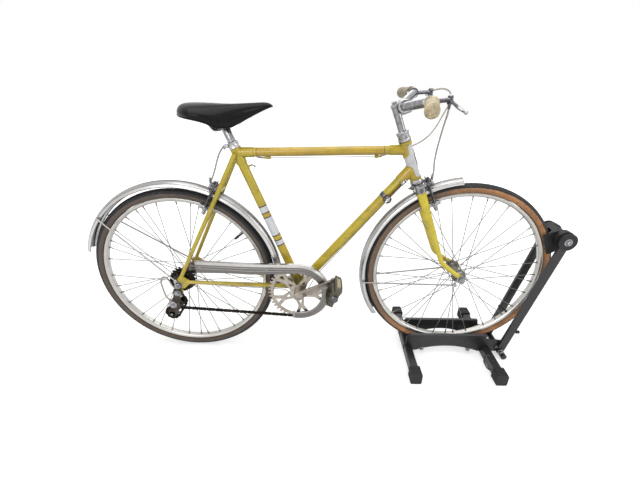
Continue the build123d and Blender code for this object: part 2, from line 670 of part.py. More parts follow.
# ================================================================ wheels
def wheel(prefix, axle, axle_r, flange_right, flange_left, half_right, half_left):
    """Tyre, rim, hub and crossed spokes about one axle."""
    with BuildPart() as tyre:
        edge = sqrt(tyre_r ** 2 - (wheel_r - tyre_r - rim_outer_r - 0.1) ** 2)
        with BuildSketch(radial_plane(axle, 0)) as section:
            with BuildLine():
                ThreePointArc((rim_outer_r + 0.1, -edge), (wheel_r, 0), (rim_outer_r + 0.1, edge))
                Line((rim_outer_r + 0.1, edge), (rim_outer_r + 0.1, -edge))
            make_face()
        revolve(section.sketch, axis=wheel_axis(axle))
    save(tyre.part, f"{prefix}_tyre")
    with BuildPart() as rim:
        with BuildSketch(radial_plane(axle, 0)) as section:
            with BuildLine():
                Polyline((rim_outer_r, -rim_half_width), (rim_outer_r, rim_half_width),
                         (rim_inner_r + 3, rim_half_width - 0.8), (rim_inner_r, 5.5), (rim_inner_r, -5.5),
                         (rim_inner_r + 3, -rim_half_width + 0.8), close=True)
            make_face()
        revolve(section.sketch, axis=wheel_axis(axle))
    save(rim.part, f"{prefix}_rim")
    flange_r, flange_t = 21.0, 2.4
    with BuildPart() as hub:
        rod(axle - Vector(0, half_right, 0), axle + Vector(0, half_left, 0), 10.5)
        for y in (-flange_right, flange_left):
            rod(axle + Vector(0, y - flange_t / 2, 0), axle + Vector(0, y + flange_t / 2, 0), flange_r)
        rod(axle - Vector(0, 90, 0), axle + Vector(0, 90, 0), axle_r + running_gap, mode=Mode.SUBTRACT)
    save(hub.part, f"{prefix}_hub")
    per_side = spoke_count // 2
    hole_r = flange_r - 3.0
    with BuildPart() as spokes:
        for flange_y, shift in ((-flange_right, 0.0), (flange_left, 0.5)):
            for i in range(per_side):
                lead = 1 if i % 2 else -1
                face = lead * (flange_t / 2 + spoke_r + 1.0)
                hub_a = 2 * pi * (i + shift) / per_side
                rim_a = hub_a + lead * radians(58.0)
                start = polar(axle, hole_r, hub_a, flange_y + face)
                end = polar(axle, rim_inner_r - 0.4, rim_a, 0.0)
                rod(start, end, spoke_r)
    save(spokes.part, f"{prefix}_spokes")


wheel("front", front_axle, 4.5, 27.0, 27.0, 36.4, 36.4)
wheel("rear", rear_axle, 5.0, 18.0, 34.0, 27.0, 43.4)

cog_teeth = (18, 17, 16, 15, 14)
cog_pitch_y = 5.5
drive_cog = 3
with BuildPart() as freewheel:
    first_y = -chain_y + drive_cog * cog_pitch_y
    for i, teeth in enumerate(cog_teeth):
        y = first_y - i * cog_pitch_y
        cog_plane = Plane(origin=rear_axle + Vector(0, y + 0.9, 0), x_dir=(1, 0, 0), z_dir=(0, -1, 0))
        with BuildSketch(cog_plane) as cog:
            toothed_disc(teeth, 12.0)
        extrude(cog.sketch, amount=1.8)
    rod(rear_axle + Vector(0, -27.0, 0), rear_axle + Vector(0, -53.0, 0), 17.0)
    rod(rear_axle + Vector(0, -20, 0), rear_axle + Vector(0, -70, 0), 5.0 + running_gap, mode=Mode.SUBTRACT)
save(freewheel.part, "freewheel")

# ================================================================ crank
crank_dir = Vector(cos(crank_lift), 0, sin(crank_lift))
crank_outer_y = crank_inner_y + crank_t
spindle_half = crank_outer_y - 4
pedal_axis = {"right": bb + crank_dir * crank_len, "left": bb - crank_dir * crank_len}

ring_pitch_r = chain_pitch / (2 * sin(pi / ring_teeth))
arm_count = 5
with BuildPart() as chainring:
    ring_plane = Plane(origin=bb + Vector(0, -chain_y + 1.3, 0), x_dir=crank_dir, z_dir=(0, -1, 0))
    with BuildSketch(ring_plane) as ring:
        toothed_disc(ring_teeth, ring_pitch_r - 13)
        with PolarLocations(0, arm_count, start_angle=36):
            Polygon((14, -15), (50, -8.5), (ring_pitch_r - 10, -22), (ring_pitch_r - 10, 22),
                    (50, 8.5), (14, 15), align=None)
            Polygon((29, -5.5), (44, 0), (29, 5.5), align=None, mode=Mode.SUBTRACT)
            Polygon((58, 0), (ring_pitch_r - 15, -9), (ring_pitch_r - 15, 9), align=None, mode=Mode.SUBTRACT)
        Circle(24)
        Circle(8.0, mode=Mode.SUBTRACT)
    extrude(ring.sketch, amount=2.6)
save(chainring.part, "chainring")


def make_crank(side, name):
    """A crank arm with its boss and the pedal's pin; the left one also carries the spindle."""
    along = crank_dir if side < 0 else -crank_dir
    start = bb + Vector(0, side * crank_inner_y, 0)
    eye = bb + along * crank_len
    with BuildPart() as arm:
        with BuildSketch(Plane(origin=start, x_dir=along, z_dir=(0, side, 0))) as outline:
            Circle(14)
            with Locations((crank_len, 0)):
                Circle(10.5)
            Polygon((0, -10), (crank_len, -7), (crank_len, 7), (0, 10), align=None)
        extrude(outline.sketch, amount=crank_t)
        boss_start = chain_y + 1.3 if side < 0 else bb_shell_half + 5.5
        rod(bb + Vector(0, side * boss_start, 0), start, 14)
        if side < 0:
            rod(bb - Vector(0, 20, 0), bb - Vector(0, spindle_half, 0), 8.0, mode=Mode.SUBTRACT)
        else:
            rod(bb - Vector(0, spindle_half, 0), start, 8.0)
        rod(eye + Vector(0, side * crank_outer_y, 0), eye + Vector(0, side * (crank_outer_y + 2), 0), 8.0)
        rod(eye + Vector(0, side * crank_outer_y, 0),
            eye + Vector(0, side * (crank_outer_y + pedal_gap + pedal_len - 6), 0), 4.5)
    save(arm.part, f"crank_{name}")


make_crank(-1, "right")
make_crank(1, "left")


def make_pedal(side, name):
    """A quill pedal: barrel with end cap, and a cage of two plates on end bars round it."""
    eye = pedal_axis[name]
    y0 = side * (crank_outer_y + pedal_gap)
    y1 = side * (crank_outer_y + pedal_gap + pedal_len)
    flat = Vector(cos(pedal_tip), 0, sin(pedal_tip))
    with BuildPart() as pedal:
        rod(eye + Vector(0, y0, 0), eye + Vector(0, y1, 0), 9.0)
        rod(eye + Vector(0, y1, 0), eye + Vector(0, y1 + side * 5, 0), 10.5)
        with BuildSketch(Plane(origin=eye + Vector(0, y0, 0), x_dir=flat, z_dir=(0, side, 0))) as plates:
            with Locations((-pedal_width / 2 + 1.1, 0), (pedal_width / 2 - 1.1, 0)):
                Rectangle(2.2, pedal_t)
        extrude(plates.sketch, amount=pedal_len)
        for y in (y0, y1 - side * 2.2):
            with BuildSketch(Plane(origin=eye + Vector(0, y, 0), x_dir=flat, z_dir=(0, side, 0))) as bar:
                Rectangle(pedal_width, 15)
            extrude(bar.sketch, amount=2.2)
        rod(eye + Vector(0, y0 - side * 2, 0), eye + Vector(0, y1 - side * 5.5, 0), 4.5 + running_gap,
            mode=Mode.SUBTRACT)
    save(pedal.part, f"pedal_{name}")


make_pedal(-1, "right")
make_pedal(1, "left")

# ================================================================ chain drive
upper_jockey = (-18.0, 203.0)
lower_jockey = (-47.0, 159.0)
jockey_teeth = 10
jockey_r = chain_pitch / (2 * sin(pi / jockey_teeth))
cog_r = chain_pitch / (2 * sin(pi / cog_teeth[drive_cog]))
chain_wheels = [(bb_x, bb_z, ring_pitch_r, 1), (0.0, wheel_r, cog_r, 1),
                (upper_jockey[0], upper_jockey[1], jockey_r, -1),
                (lower_jockey[0], lower_jockey[1], jockey_r, 1)]
link_half = 3.8
plate_in, plate_out = 2.1, 3.3

with BuildPart() as chain:
    for y in (-chain_y + plate_out, -chain_y - plate_in):
        with BuildSketch(side_plane(y)) as band:
            with BuildLine():
                belt(chain_wheels, link_half)
            make_face()
            with BuildLine():
                belt(chain_wheels, -link_half)
            make_face(mode=Mode.SUBTRACT)
        extrude(band.sketch, amount=plate_out - plate_in)
save(chain.part, "chain")

cover_r = 95.5               # chain guard's outside round the chainring
cover_skin = 1.2
cover_bevel = 5.7            # its outer edges slope by this much towards the face
cover_back_y, cover_face_y = 38.0, 53.2
cover_lip_r = 71.0           # inner edge of the face round the crank
cover_tail = (50.0, 344.0)
cover_bend = (205.0, 337.5)
cover_low = ((47.0, 310.6), (150.0, 310.0), (216.0, 306.5))
cover_end_a, cover_open_a, cover_lip_a = -104.0, 12.0, 100.0


def tangent_angle(x, z, r):
    """Where a line from (x, z), left of the crank, touches the top of a circle about it, in degrees."""
    return degrees(atan2(z - bb_z, x - bb_x)) - degrees(acos(r / hypot(x - bb_x, z - bb_z)))


def cover_layers(skin, low):
    """The chain guard's bevelled block, drawn in by skin; its lower edge is low below the face's."""
    r = cover_r - skin
    top_a = tangent_angle(cover_bend[0], cover_bend[1] - skin, r)
    with BuildPart() as block:
        with BuildSketch(side_plane(-cover_back_y + skin)) as outline:
            with BuildLine():
                rim = CenterArc((bb_x, bb_z), r, cover_end_a, top_a - cover_end_a)
                lip = CenterArc((bb_x, bb_z), cover_lip_r - low, cover_end_a, cover_lip_a - cover_end_a)
                Polyline(rim @ 1, (cover_bend[0], cover_bend[1] - skin),
                         (cover_tail[0] - skin, cover_tail[1] - skin),
                         *[(x - 2 * skin, z - low) for x, z in cover_low], lip @ 1)
                Line(rim @ 0, lip @ 0)
            make_face()
        extrude(outline.sketch, amount=cover_face_y - cover_bevel - cover_back_y)
        front = block.faces().sort_by(Axis.Y)[0]
        extrude(front, amount=cover_bevel, taper=45)
    return block.part


with BuildPart() as chain_guard:
    add(cover_layers(0, cover_bevel))
    add(cover_layers(cover_skin, 40), mode=Mode.SUBTRACT)
    with BuildSketch(side_plane(-cover_back_y + 1)) as chain_exit:
        with Locations((bb_x - 23, bb_z - cover_r + 2)):
            Rectangle(26, 34)
    extrude(chain_exit.sketch, amount=cover_face_y - cover_back_y - 3, mode=Mode.SUBTRACT)
save(chain_guard.part, "chain_guard")

# ---------------------------------------------------------------- rear gear
hanger = at(-4, 0, 252)
jockeys = [at(x, -chain_y, z) for x, z in (upper_jockey, lower_jockey)]
with BuildPart() as derailleur:
    rod(hanger + Vector(0, -rear_half_gap - dropout_t - 0.1, 0), hanger + Vector(0, -74, 0), 8.0)
    rod(hanger + Vector(-2, -71, 0), jockeys[0] + Vector(-13, -20, 8), 4.5)
    rod(hanger + Vector(6, -71, -4), jockeys[0] + Vector(-5, -23, 10), 4.0)
    rod(jockeys[0] + Vector(-8, -9, 6), jockeys[0] + Vector(-8, -27, 6), 11.0)
    cage_x, cage_z = jockeys[1].X - jockeys[0].X, jockeys[1].Z - jockeys[0].Z
    for y in (-8.2, 5.2):
        cage_plane = Plane(origin=jockeys[0] + Vector(0, y, 0), x_dir=(1, 0, 0), z_dir=(0, -1, 0))
        with BuildSketch(cage_plane) as cage:
            Circle(13)
            with Locations((cage_x, cage_z)):
                Circle(12)
            with BuildLine():
                Polyline((-11, 7), (cage_x - 10, cage_z + 7), (cage_x + 10, cage_z - 7), (11, -7),
                         close=True)
            make_face()
        extrude(cage.sketch, amount=1.5)
    for jockey in jockeys:
        rod(jockey + Vector(0, -8, 0), jockey + Vector(0, 8, 0), 5.0)
        jockey_plane = Plane(origin=jockey + Vector(0, 1, 0), x_dir=(1, 0, 0), z_dir=(0, -1, 0))
        with BuildSketch(jockey_plane) as wheel_disc:
            toothed_disc(jockey_teeth, 3.0)
        extrude(wheel_disc.sketch, amount=2.0)
save(derailleur.part, "derailleur")

down_dir = (down_tube_front - bb).normalized()
shift_point = bb + down_dir * 379 + Vector(down_dir.Z, 0, -down_dir.X) * 5
with BuildPart() as shift_lever:
    hub_start = shift_point + Vector(0, 4 - down_tube_r, 0)
    rod(hub_start, hub_start + Vector(0, -12, 0), 11.5)
    rod(hub_start + Vector(0, -8, 0), hub_start + down_dir * 56 + Vector(0, -9, 0), 3.2)
    rod(hub_start + down_dir * 53 + Vector(0, -9, 0), hub_start + down_dir * 68 + Vector(0, -10, 0), 4.4)
    add(down_tube.part, mode=Mode.SUBTRACT)
save(shift_lever.part, "shift_lever")

# ---------------------------------------------------------------- cables
cable_r = 2.2
wire_r = 0.9


def cord_radii(points, share=0.42):
    """The largest even arc for each corner of a cord's route."""
    radii = []
    for before, corner, after in zip(points, points[1:], points[2:]):
        turn = radians((corner - before).get_angle(after - corner))
        run = min((corner - before).length, (after - corner).length)
        radii.append(share * run / tan(turn / 2))
    return radii


def cable(points, r, name):
    """One cord of even thickness along a list of points, saved under its name."""
    radii = cord_radii(points)
    with BuildPart() as cord:
        bent_rod(points, radii, r)
    print(name, "radii", [round(value) for value in radii])
    save(cord.part, name)
    return cord.part


front_route = [(699.6, -97.5, 770), (700, -94, 752), (699.3, -82, 727.5), (699.8, -66, 695),
               (701.7, -48, 661), (707, -28, 626)]
front_end = front_brake_base + steer_out * (anchor_out - 3) + Vector(0, 0, 4.4)
cable([at(*point) for point in front_route] + [front_end + Vector(0, -6, 24), front_end], cable_r,
      "front_brake_cable")

cross_route = [(706, 87, 794.8), (722, 86, 799), (741, 82, 800.5), (753.5, 77, 794.5), (758.5, 71, 781),
               (753.5, 64, 765), (738.5, 54, 740), (723.2, 43, 714), (707.8, 34.5, 693.6),
               (688, 26.5, 677.5), (661.8, 21, 664.3), (628, 20.5, 653.5), (600, 16, 645), (583, 8, 641),
               (570.6, 0.6, 639.8)]
cable([at(*point) for point in cross_route], cable_r, "rear_brake_cable_front")

hanger_route = [(273.8, 3.2, 634.4), (254, 11, 632.5), (236, 20, 637), (220, 25.5, 646)]
arch_route = [(187, 23, 667), (174, 14, 671), (161, 6, 663), (149.5, 2, 647), (140, 0.5, 625), (131, 0, 599)]
wire_front, wire_back = at(564.5, 0, 639.6), at(279.0, 2.0, 634.6)
with BuildPart() as rear_brake_cable:
    rear_end = rear_brake_base + stay_back * (anchor_out - 3) + Vector(0, 0, 5)
    points = [at(*point) for point in hanger_route + arch_route] + [rear_end]
    bent_rod(points, cord_radii(points), cable_r)
    rod(wire_front, wire_back, wire_r)
    for stop in (wire_front, wire_back):
        rod(stop - Vector(5, 0, 0), stop + Vector(5, 0, 0), 3.0)
        rod(stop, stop + Vector(0, 0, 12), 2.2)
    add(top_tube.part, mode=Mode.SUBTRACT)
save(rear_brake_cable.part, "rear_brake_cable")

gear_route = [(593, -19, 519), (520, -16, 428), (446, -16, 336), (405, -17, 286), (368, -20, 218),
              (333, -21, 216), (307, -22, 236), (200, -36, 251.5), (110, -49.6, 263.3)]
with BuildPart() as gear_cable:
    points = [at(*point) for point in gear_route]
    for a, b in zip(points, points[1:]):
        rod(a, b, wire_r)
save(gear_cable.part, "gear_cable")

# ================================================================ floor stand
bar_w, bar_h = 24.0, 34.0
rail_t, rail_top = 4.0, 82.0
rail_arch = {-1: 34.0, 1: 46.0}      # underside of each rail, mid-way
rail_back_x, rail_front_x = 698.0, 1000.0
pivot_x, pivot_z = 1004.0, 24.0
foot_x, foot_z = 1012.0, 11.0
arm_w, arm_t = 24.0, 8.0
arm_y = 37.0

arm_foot = at(pivot_x, 0, pivot_z)
arm_head = at(disc_x, 0, disc_z)
arm_outer_y = arm_y + 2 + arm_t
with BuildPart() as stand_base:
    for x in (stand_bar_back_x, stand_bar_front_x):
        bar_plane = Plane(origin=at(x, stand_half_width - 6, 3), x_dir=(1, 0, 0), z_dir=(0, -1, 0))
        with BuildSketch(bar_plane) as bar:
            with Locations((0, (bar_h - 3) / 2)):
                RectangleRounded(bar_w, bar_h - 3, 4)
        extrude(bar.sketch, amount=2 * stand_half_width - 12)
    for side in (-1, 1):
        with BuildSketch(side_plane(side * rail_y + rail_t / 2)) as rail:
            with BuildLine():
                low = ThreePointArc((rail_back_x + 34, 14), (834, rail_arch[side]), (rail_front_x - 66, 14))
                Polyline(low @ 1, (rail_front_x - 34, 14), (rail_front_x + 12, 16), (rail_front_x + 12, 58),
                         (rail_front_x - 44, 64), (rail_front_x - 48, rail_top), (rail_back_x + 10, rail_top),
                         (rail_back_x, rail_top - 12), (rail_back_x, 14), low @ 0)
            make_face()
        extrude(rail.sketch, amount=rail_t)
        with BuildSketch(side_plane(side * (rail_y + 3) + 5)) as flange:
            with Locations(((rail_back_x + rail_front_x - 46) / 2 + 5, rail_top - 1.5)):
                Rectangle(rail_front_x - 46 - rail_back_x - 12, 3)
        extrude(flange.sketch, amount=10)
    for x in (752.0, 903.0):
        rod(at(x, -rail_y, 21), at(x, rail_y, 21), 5.0)
    rod(arm_foot - Vector(0, arm_outer_y + 4, 0), arm_foot + Vector(0, arm_outer_y + 4, 0), 8.0)
    rod(at(foot_x, -arm_outer_y - 14, foot_z), at(foot_x, arm_outer_y + 14, foot_z), 9.0)
save(stand_base.part, "stand_base")

with BuildPart() as stand_caps:
    for x in (stand_bar_back_x, stand_bar_front_x):
        for side in (-1, 1):
            start = at(x, side * (stand_half_width - 34), 0)
            with BuildSketch(Plane(origin=start, x_dir=(-side, 0, 0), z_dir=(0, side, 0))) as block:
                with Locations((0, 19)):
                    RectangleRounded(bar_w + 9, 38, 5)
            extrude(block.sketch, amount=34)
    add(stand_base.part, mode=Mode.SUBTRACT)
save(stand_caps.part, "stand_caps")

arm_dir = (arm_head - arm_foot).normalized()
for side, name in ((-1, "right"), (1, "left")):
    with BuildPart() as arm:
        plane = Plane(origin=arm_foot + Vector(0, side * (arm_y + 2), 0), x_dir=arm_dir, z_dir=(0, side, 0))
        reach = (arm_head - arm_foot).length
        with BuildSketch(plane) as outline:
            with Locations((reach / 2, 0)):
                SlotCenterToCenter(reach, arm_w)
        extrude(outline.sketch, amount=arm_t)
        for at_end in (arm_foot, arm_head):
            rod(at_end + Vector(0, side * 10, 0), at_end + Vector(0, side * 80, 0), 8.0 + running_gap,
                mode=Mode.SUBTRACT)
        add(stand_base.part, mode=Mode.SUBTRACT)
    save(arm.part, f"stand_arm_{name}")

out_dir = (arm_head - front_axle).normalized()
across = Vector(-out_dir.Z, 0, out_dir.X)
holder_reach = (arm_head - front_axle).length
with BuildPart() as tyre_holder:
    profile = Plane(origin=front_axle - across * 40, x_dir=out_dir, z_dir=across)
    with BuildSketch(profile) as vee:
        with BuildLine():
            Polyline((248, -21.5), (248, -25.5), (276, -24), (holder_reach + 8, -22),
                     (holder_reach + 8, 22), (276, 24), (248, 25.5), (248, 21.5), (262, 21.3),
                     (277, 14.6), (281.6, 0), (277, -14.6), (262, -21.3), close=True)
        make_face()
    extrude(vee.sketch, amount=80)
    lobe_plane = Plane(origin=front_axle + Vector(0, 30, 0), x_dir=out_dir, z_dir=(0, -1, 0))
    with BuildSketch(lobe_plane) as lobe:
        with Locations((holder_reach, 0)):
            Circle(disc_r)
        with BuildLine():
            FilletPolyline((holder_reach, -disc_r), (272, -33), (247, -35), (247, 31), (272, 31),
                           (holder_reach, disc_r), radius=[14.0, 6.0, 6.0, 14.0])
            Line((holder_reach, disc_r), (holder_reach, -disc_r))
        make_face()
    extrude(lobe.sketch, amount=60, mode=Mode.INTERSECT)
    rod(arm_head - Vector(0, arm_outer_y + 1, 0), arm_head + Vector(0, arm_outer_y + 1, 0), 8.0)
    for side in (-1, 1):
        rod(arm_head + Vector(0, side * 21, 0), arm_head + Vector(0, side * (arm_y + 1.9), 0), disc_r)
        rod(arm_head + Vector(0, side * (arm_outer_y + 0.1), 0),
            arm_head + Vector(0, side * (arm_outer_y + 4), 0), disc_r - 1)
save(tyre_holder.part, "tyre_holder")
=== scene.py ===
import json
from math import acos, atan2, cos, hypot, pi, radians, sin, sqrt, tau

import bmesh
import bpy
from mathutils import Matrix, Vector

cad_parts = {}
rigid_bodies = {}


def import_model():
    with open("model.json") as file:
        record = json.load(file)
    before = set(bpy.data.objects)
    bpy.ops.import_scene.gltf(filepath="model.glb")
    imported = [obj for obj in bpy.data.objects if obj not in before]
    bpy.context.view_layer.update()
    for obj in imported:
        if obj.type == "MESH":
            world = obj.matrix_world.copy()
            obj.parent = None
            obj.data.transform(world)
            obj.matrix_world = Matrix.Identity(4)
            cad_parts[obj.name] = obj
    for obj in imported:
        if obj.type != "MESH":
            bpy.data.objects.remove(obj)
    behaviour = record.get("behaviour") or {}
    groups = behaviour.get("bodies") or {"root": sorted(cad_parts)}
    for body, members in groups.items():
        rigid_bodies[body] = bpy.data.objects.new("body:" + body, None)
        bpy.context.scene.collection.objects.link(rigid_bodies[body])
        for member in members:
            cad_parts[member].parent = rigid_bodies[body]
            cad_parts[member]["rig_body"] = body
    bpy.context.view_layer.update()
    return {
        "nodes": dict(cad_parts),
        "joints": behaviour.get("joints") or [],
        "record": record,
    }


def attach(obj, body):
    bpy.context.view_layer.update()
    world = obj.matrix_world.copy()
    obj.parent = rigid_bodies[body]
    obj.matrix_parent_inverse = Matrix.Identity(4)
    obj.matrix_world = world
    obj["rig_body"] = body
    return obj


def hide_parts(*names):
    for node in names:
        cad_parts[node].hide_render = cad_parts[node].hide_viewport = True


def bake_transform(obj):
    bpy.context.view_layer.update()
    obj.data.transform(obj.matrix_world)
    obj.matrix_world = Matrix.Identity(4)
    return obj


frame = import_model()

MM = 0.001                   # the script works in millimetres; meshes, materials and stage are in metres

# ---- places, read from the frame
joints = {joint["name"]: joint for joint in frame["joints"]}
REAR, FRONT, BRACKET, STEER_FOOT, RIGHT_PEDAL, LEFT_PEDAL = (
    Vector(joints[name]["pos_m"]) / MM for name in ("rear_wheel_spin", "front_wheel_spin", "crank_spin",
                                                    "steering", "right_pedal_spin", "left_pedal_spin"))
PEDALS = {"right": RIGHT_PEDAL, "left": LEFT_PEDAL}
STEER_UP = Vector(joints["steering"]["axis"]).normalized()
STEER_OUT = Vector((STEER_UP.z, 0, -STEER_UP.x))
SEAT_LEAN = radians(110.75)
SEAT_UP = Vector((cos(SEAT_LEAN), 0, sin(SEAT_LEAN)))
LEFT = Vector((0, 1, 0))
RIGHT = -LEFT
FORWARD = Vector((1, 0, 0))
UP = Vector((0, 0, 1))
SIDES = {"right": -1, "left": 1}


def at(x, y, z):
    """A point x in front of the rear axle, y to the left and z above the floor."""
    return Vector((REAR.x + x, y, z))


def on_wheel(axle, radius, angle, y=0):
    """A point at a radius and an angle about a wheel's axle."""
    return Vector((axle.x + radius * cos(angle), y, axle.z + radius * sin(angle)))


def on_steer(along, out=0, y=0):
    """A point above the head tube's foot, along the steering axis, and in front of it."""
    return STEER_FOOT + STEER_UP * along + STEER_OUT * out + LEFT * y


# ---- materials
def paint(red, green, blue):
    """A colour of the 0 to 255 kind as Blender's linear one."""
    parts = [value / 255 for value in (red, green, blue)]
    return [v / 12.92 if v <= 0.04045 else ((v + 0.055) / 1.055) ** 2.4 for v in parts] + [1]


GRAIN_R = 0.27               # radius at which grain that runs round a wheel has its true length, in metres


class Graph:
    """The node tree of one material or world; its methods make nodes and join them."""

    def __init__(self, name, owners=bpy.data.materials, shader="Principled BSDF"):
        self.owner = owners.new(name)
        self.owner.use_nodes = True
        self.tree = self.owner.node_tree
        self.shader = self.tree.nodes[shader]
        coordinates = self.tree.nodes.new("ShaderNodeTexCoord")
        self.place = coordinates.outputs["Object"]
        self.facing = coordinates.outputs["Normal"]

    def put(self, socket, value):
        if isinstance(value, bpy.types.NodeSocket):
            self.tree.links.new(value, socket)
        else:
            socket.default_value = value

    def node(self, kind, inputs, **settings):
        node = self.tree.nodes.new("ShaderNode" + kind)
        for key, value in settings.items():
            setattr(node, key, value)
        for key, value in inputs.items():
            self.put(node.inputs[key], value)
        return node

    def sum(self, operation, a, b=0, c=0):
        return self.node("Math", {0: a, 1: b, 2: c}, operation=operation).outputs[0]

    def vector(self, operation, a, b, output="Value"):
        return self.node("VectorMath", {0: a, 1: b}, operation=operation).outputs[output]

    def along(self, origin, direction):
        """How far a point is along a direction, in metres."""
        return self.vector("DOT_PRODUCT", self.vector("SUBTRACT", self.place, origin * MM, 0), direction)

    def facing_to(self, direction):
        """1 on surfaces that face a direction, -1 on those that face the other way."""
        return self.vector("DOT_PRODUCT", self.facing, direction)

    def from_axle(self, axle):
        """Distance from a wheel's axle line, in metres."""
        across, above = self.along(axle, FORWARD), self.along(axle, UP)
        return self.sum("SQRT", self.sum("ADD", self.sum("MULTIPLY", across, across),
                                         self.sum("MULTIPLY", above, above)))

    def round_wheel(self, axle):
        """Coordinates that run round a wheel, so that grain and streaks follow its rim."""
        turn = self.sum("ARCTAN2", self.along(axle, UP), self.along(axle, FORWARD))
        return self.node("CombineXYZ", {0: self.sum("MULTIPLY", turn, GRAIN_R), 1: self.along(axle, LEFT),
                                        2: self.from_axle(axle)}).outputs[0]

    def noise(self, scale, detail=4, rough=0.55, stretch=(1, 1, 1), place=None):
        where = place or self.place
        if stretch != (1, 1, 1):
            where = self.node("Mapping", {"Vector": where, "Scale": stretch}).outputs[0]
        return self.node("TexNoise", {"Vector": where, "Scale": scale, "Detail": detail,
                                      "Roughness": rough}).outputs["Fac"]

    def cells(self, scale, feature="F1"):
        return self.node("TexVoronoi", {"Vector": self.place, "Scale": scale},
            feature=feature).outputs["Distance"]

    def fade(self, value, low, high, start=0, end=1):
        return self.node("MapRange", {"Value": value, "From Min": low, "From Max": high,
                                      "To Min": start, "To Max": end}).outputs["Result"]

    def mix(self, amount, a, b):
        return self.node("Mix", {0: amount, 6: a, 7: b}, data_type="RGBA").outputs[2]

    def bands(self, value, stops):
        """Flat colours that change at given values from 0 to 1."""
        node = self.node("ValToRGB", {"Fac": value})
        ramp = node.color_ramp
        ramp.interpolation = "CONSTANT"
        while len(ramp.elements) < len(stops):
            ramp.elements.new(1)
        for element, (where, colour) in zip(ramp.elements, stops):
            element.position = where
            element.color = colour
        return node.outputs["Color"]

    def lines(self, run, places, width):
        """1 within thin lines at places along a run, all in metres."""
        found = None
        for place in places:
            off = self.sum("ABSOLUTE", self.sum("SUBTRACT", run, place))
            line = self.sum("LESS_THAN", off, width / 2)
            found = line if found is None else self.sum("MAXIMUM", found, line)
        return found

    def bump(self, height, depth, below=None):
        """A normal from a height of 0 to 1 that stands for a depth in millimetres."""
        inputs = {"Height": height, "Strength": 1, "Distance": depth * MM}
        if below:
            inputs["Normal"] = below
        return self.node("Bump", inputs).outputs["Normal"]

    def finish(self, **sockets):
        for key, value in sockets.items():
            self.put(self.shader.inputs[key.replace("_", " ")], value)
        return self.owner


YELLOW = paint(192, 172, 30)
AMBER = paint(190, 148, 30)
OLIVE = paint(136, 130, 34)
BRIGHT_YELLOW = paint(220, 200, 38)
WHITE = paint(214, 216, 220)
LINE = paint(34, 28, 22)
RUST = paint(92, 58, 36)
DARK_BLACK, FULL_WHITE = (0, 0, 0, 1), (1, 1, 1, 1)


def enamel(name, colour_of):
    """Old gloss enamel; colour_of gives the colour under the varnish."""
    g = Graph(name)
    colour = colour_of(g)
    chips = g.fade(g.noise(230, 3, 0.6), 0.69, 0.72)
    grime = g.fade(g.noise(38, 5, 0.7), 0.52, 0.78, 0, 0.4)
    # painted shade: surfaces that face down are darkened, with the same colour as the grime patches
    shaded = g.fade(g.facing_to(UP), -0.15, -0.95, 0, 0.6)
    colour = g.mix(g.sum("MAXIMUM", grime, shaded), colour, paint(92, 80, 34))
    colour = g.mix(chips, colour, RUST)
    scratches = g.noise(60, 2, 0.5, stretch=(1, 9, 1))
    # grease, and painted shade behind the chainring and chain guard: darker within 75 mm of the bracket
    bracket_grease_and_shade = g.fade(g.vector("DISTANCE", g.place, BRACKET * MM), 0.075, 0.034, 0, 0.75)
    colour = g.mix(bracket_grease_and_shade, colour, paint(64, 54, 28))
    peel = g.bump(g.noise(700, 2, 0.4), 0.02)
    relief = g.bump(g.sum("SUBTRACT", 1, chips), 0.12, peel)
    return g.finish(Base_Color=colour, Roughness=g.fade(scratches, 0.3, 0.7, 0.2, 0.42), Normal=relief,
                    Coat_Weight=0.4, Coat_Roughness=0.14)


def old_yellow(g, fresh=YELLOW):
    """Yellow that has gone amber and olive in patches."""
    patches = g.mix(g.fade(g.noise(9, 4, 0.6), 0.45, 0.7, 0, 0.8), fresh, AMBER)
    return g.mix(g.fade(g.noise(17, 3, 0.5, stretch=(1, 1, 2)), 0.5, 0.75, 0, 0.8), patches, OLIVE)


def bright_yellow(g):
    return g.mix(0.7, old_yellow(g, BRIGHT_YELLOW), BRIGHT_YELLOW)


SEAT_TUBE_RUN = 0.44
# Height above the bracket, in millimetres, at which each band starts; None is the tube's own yellow.
SEAT_TUBE_BANDS = ((149, LINE), (152, WHITE), (166, LINE), (170, None), (181, LINE), (185, WHITE),
                   (241.5, LINE), (245.5, None), (256, LINE), (259.5, WHITE), (276.5, LINE), (279, None))
TOP_TUBE_PANEL = (249.8, 581.3)
TOP_TUBE_LUG_LINE = 608.8


def banded_yellow(g):
    """The seat tube's plain white bands with dark edges."""
    height = g.sum("DIVIDE", g.along(BRACKET, SEAT_UP), SEAT_TUBE_RUN)
    starts = [(where * MM / SEAT_TUBE_RUN, colour) for where, colour in SEAT_TUBE_BANDS]
    colours = [(0, WHITE)] + [(where, colour or WHITE) for where, colour in starts]
    painted = [(0, DARK_BLACK)] + [(where, FULL_WHITE if colour else DARK_BLACK) for where, colour in starts]
    return g.mix(g.bands(height, painted), old_yellow(g), g.bands(height, colours))


def panelled_yellow(g):
    """The top tube's amber panel between two thin dark lines."""
    run = g.along(at(0, 0, 0), FORWARD)
    back, front, lug = (edge * MM for edge in (*TOP_TUBE_PANEL, TOP_TUBE_LUG_LINE))
    inside = g.sum("MULTIPLY", g.sum("GREATER_THAN", run, back), g.sum("LESS_THAN", run, front))
    tone = g.mix(g.sum("MULTIPLY", inside, 0.5), old_yellow(g), AMBER)
    return g.mix(g.lines(run, [back, front, lug], 0.0013), tone, LINE)


def faded_badge(g):
    return g.mix(g.fade(g.noise(120, 3, 0.6), 0.4, 0.6), paint(120, 66, 50), paint(88, 46, 38))


def plain_white(g):
    return g.mix(g.fade(g.noise(20, 4, 0.6), 0.4, 0.8, 0, 0.35), WHITE, paint(184, 180, 170))


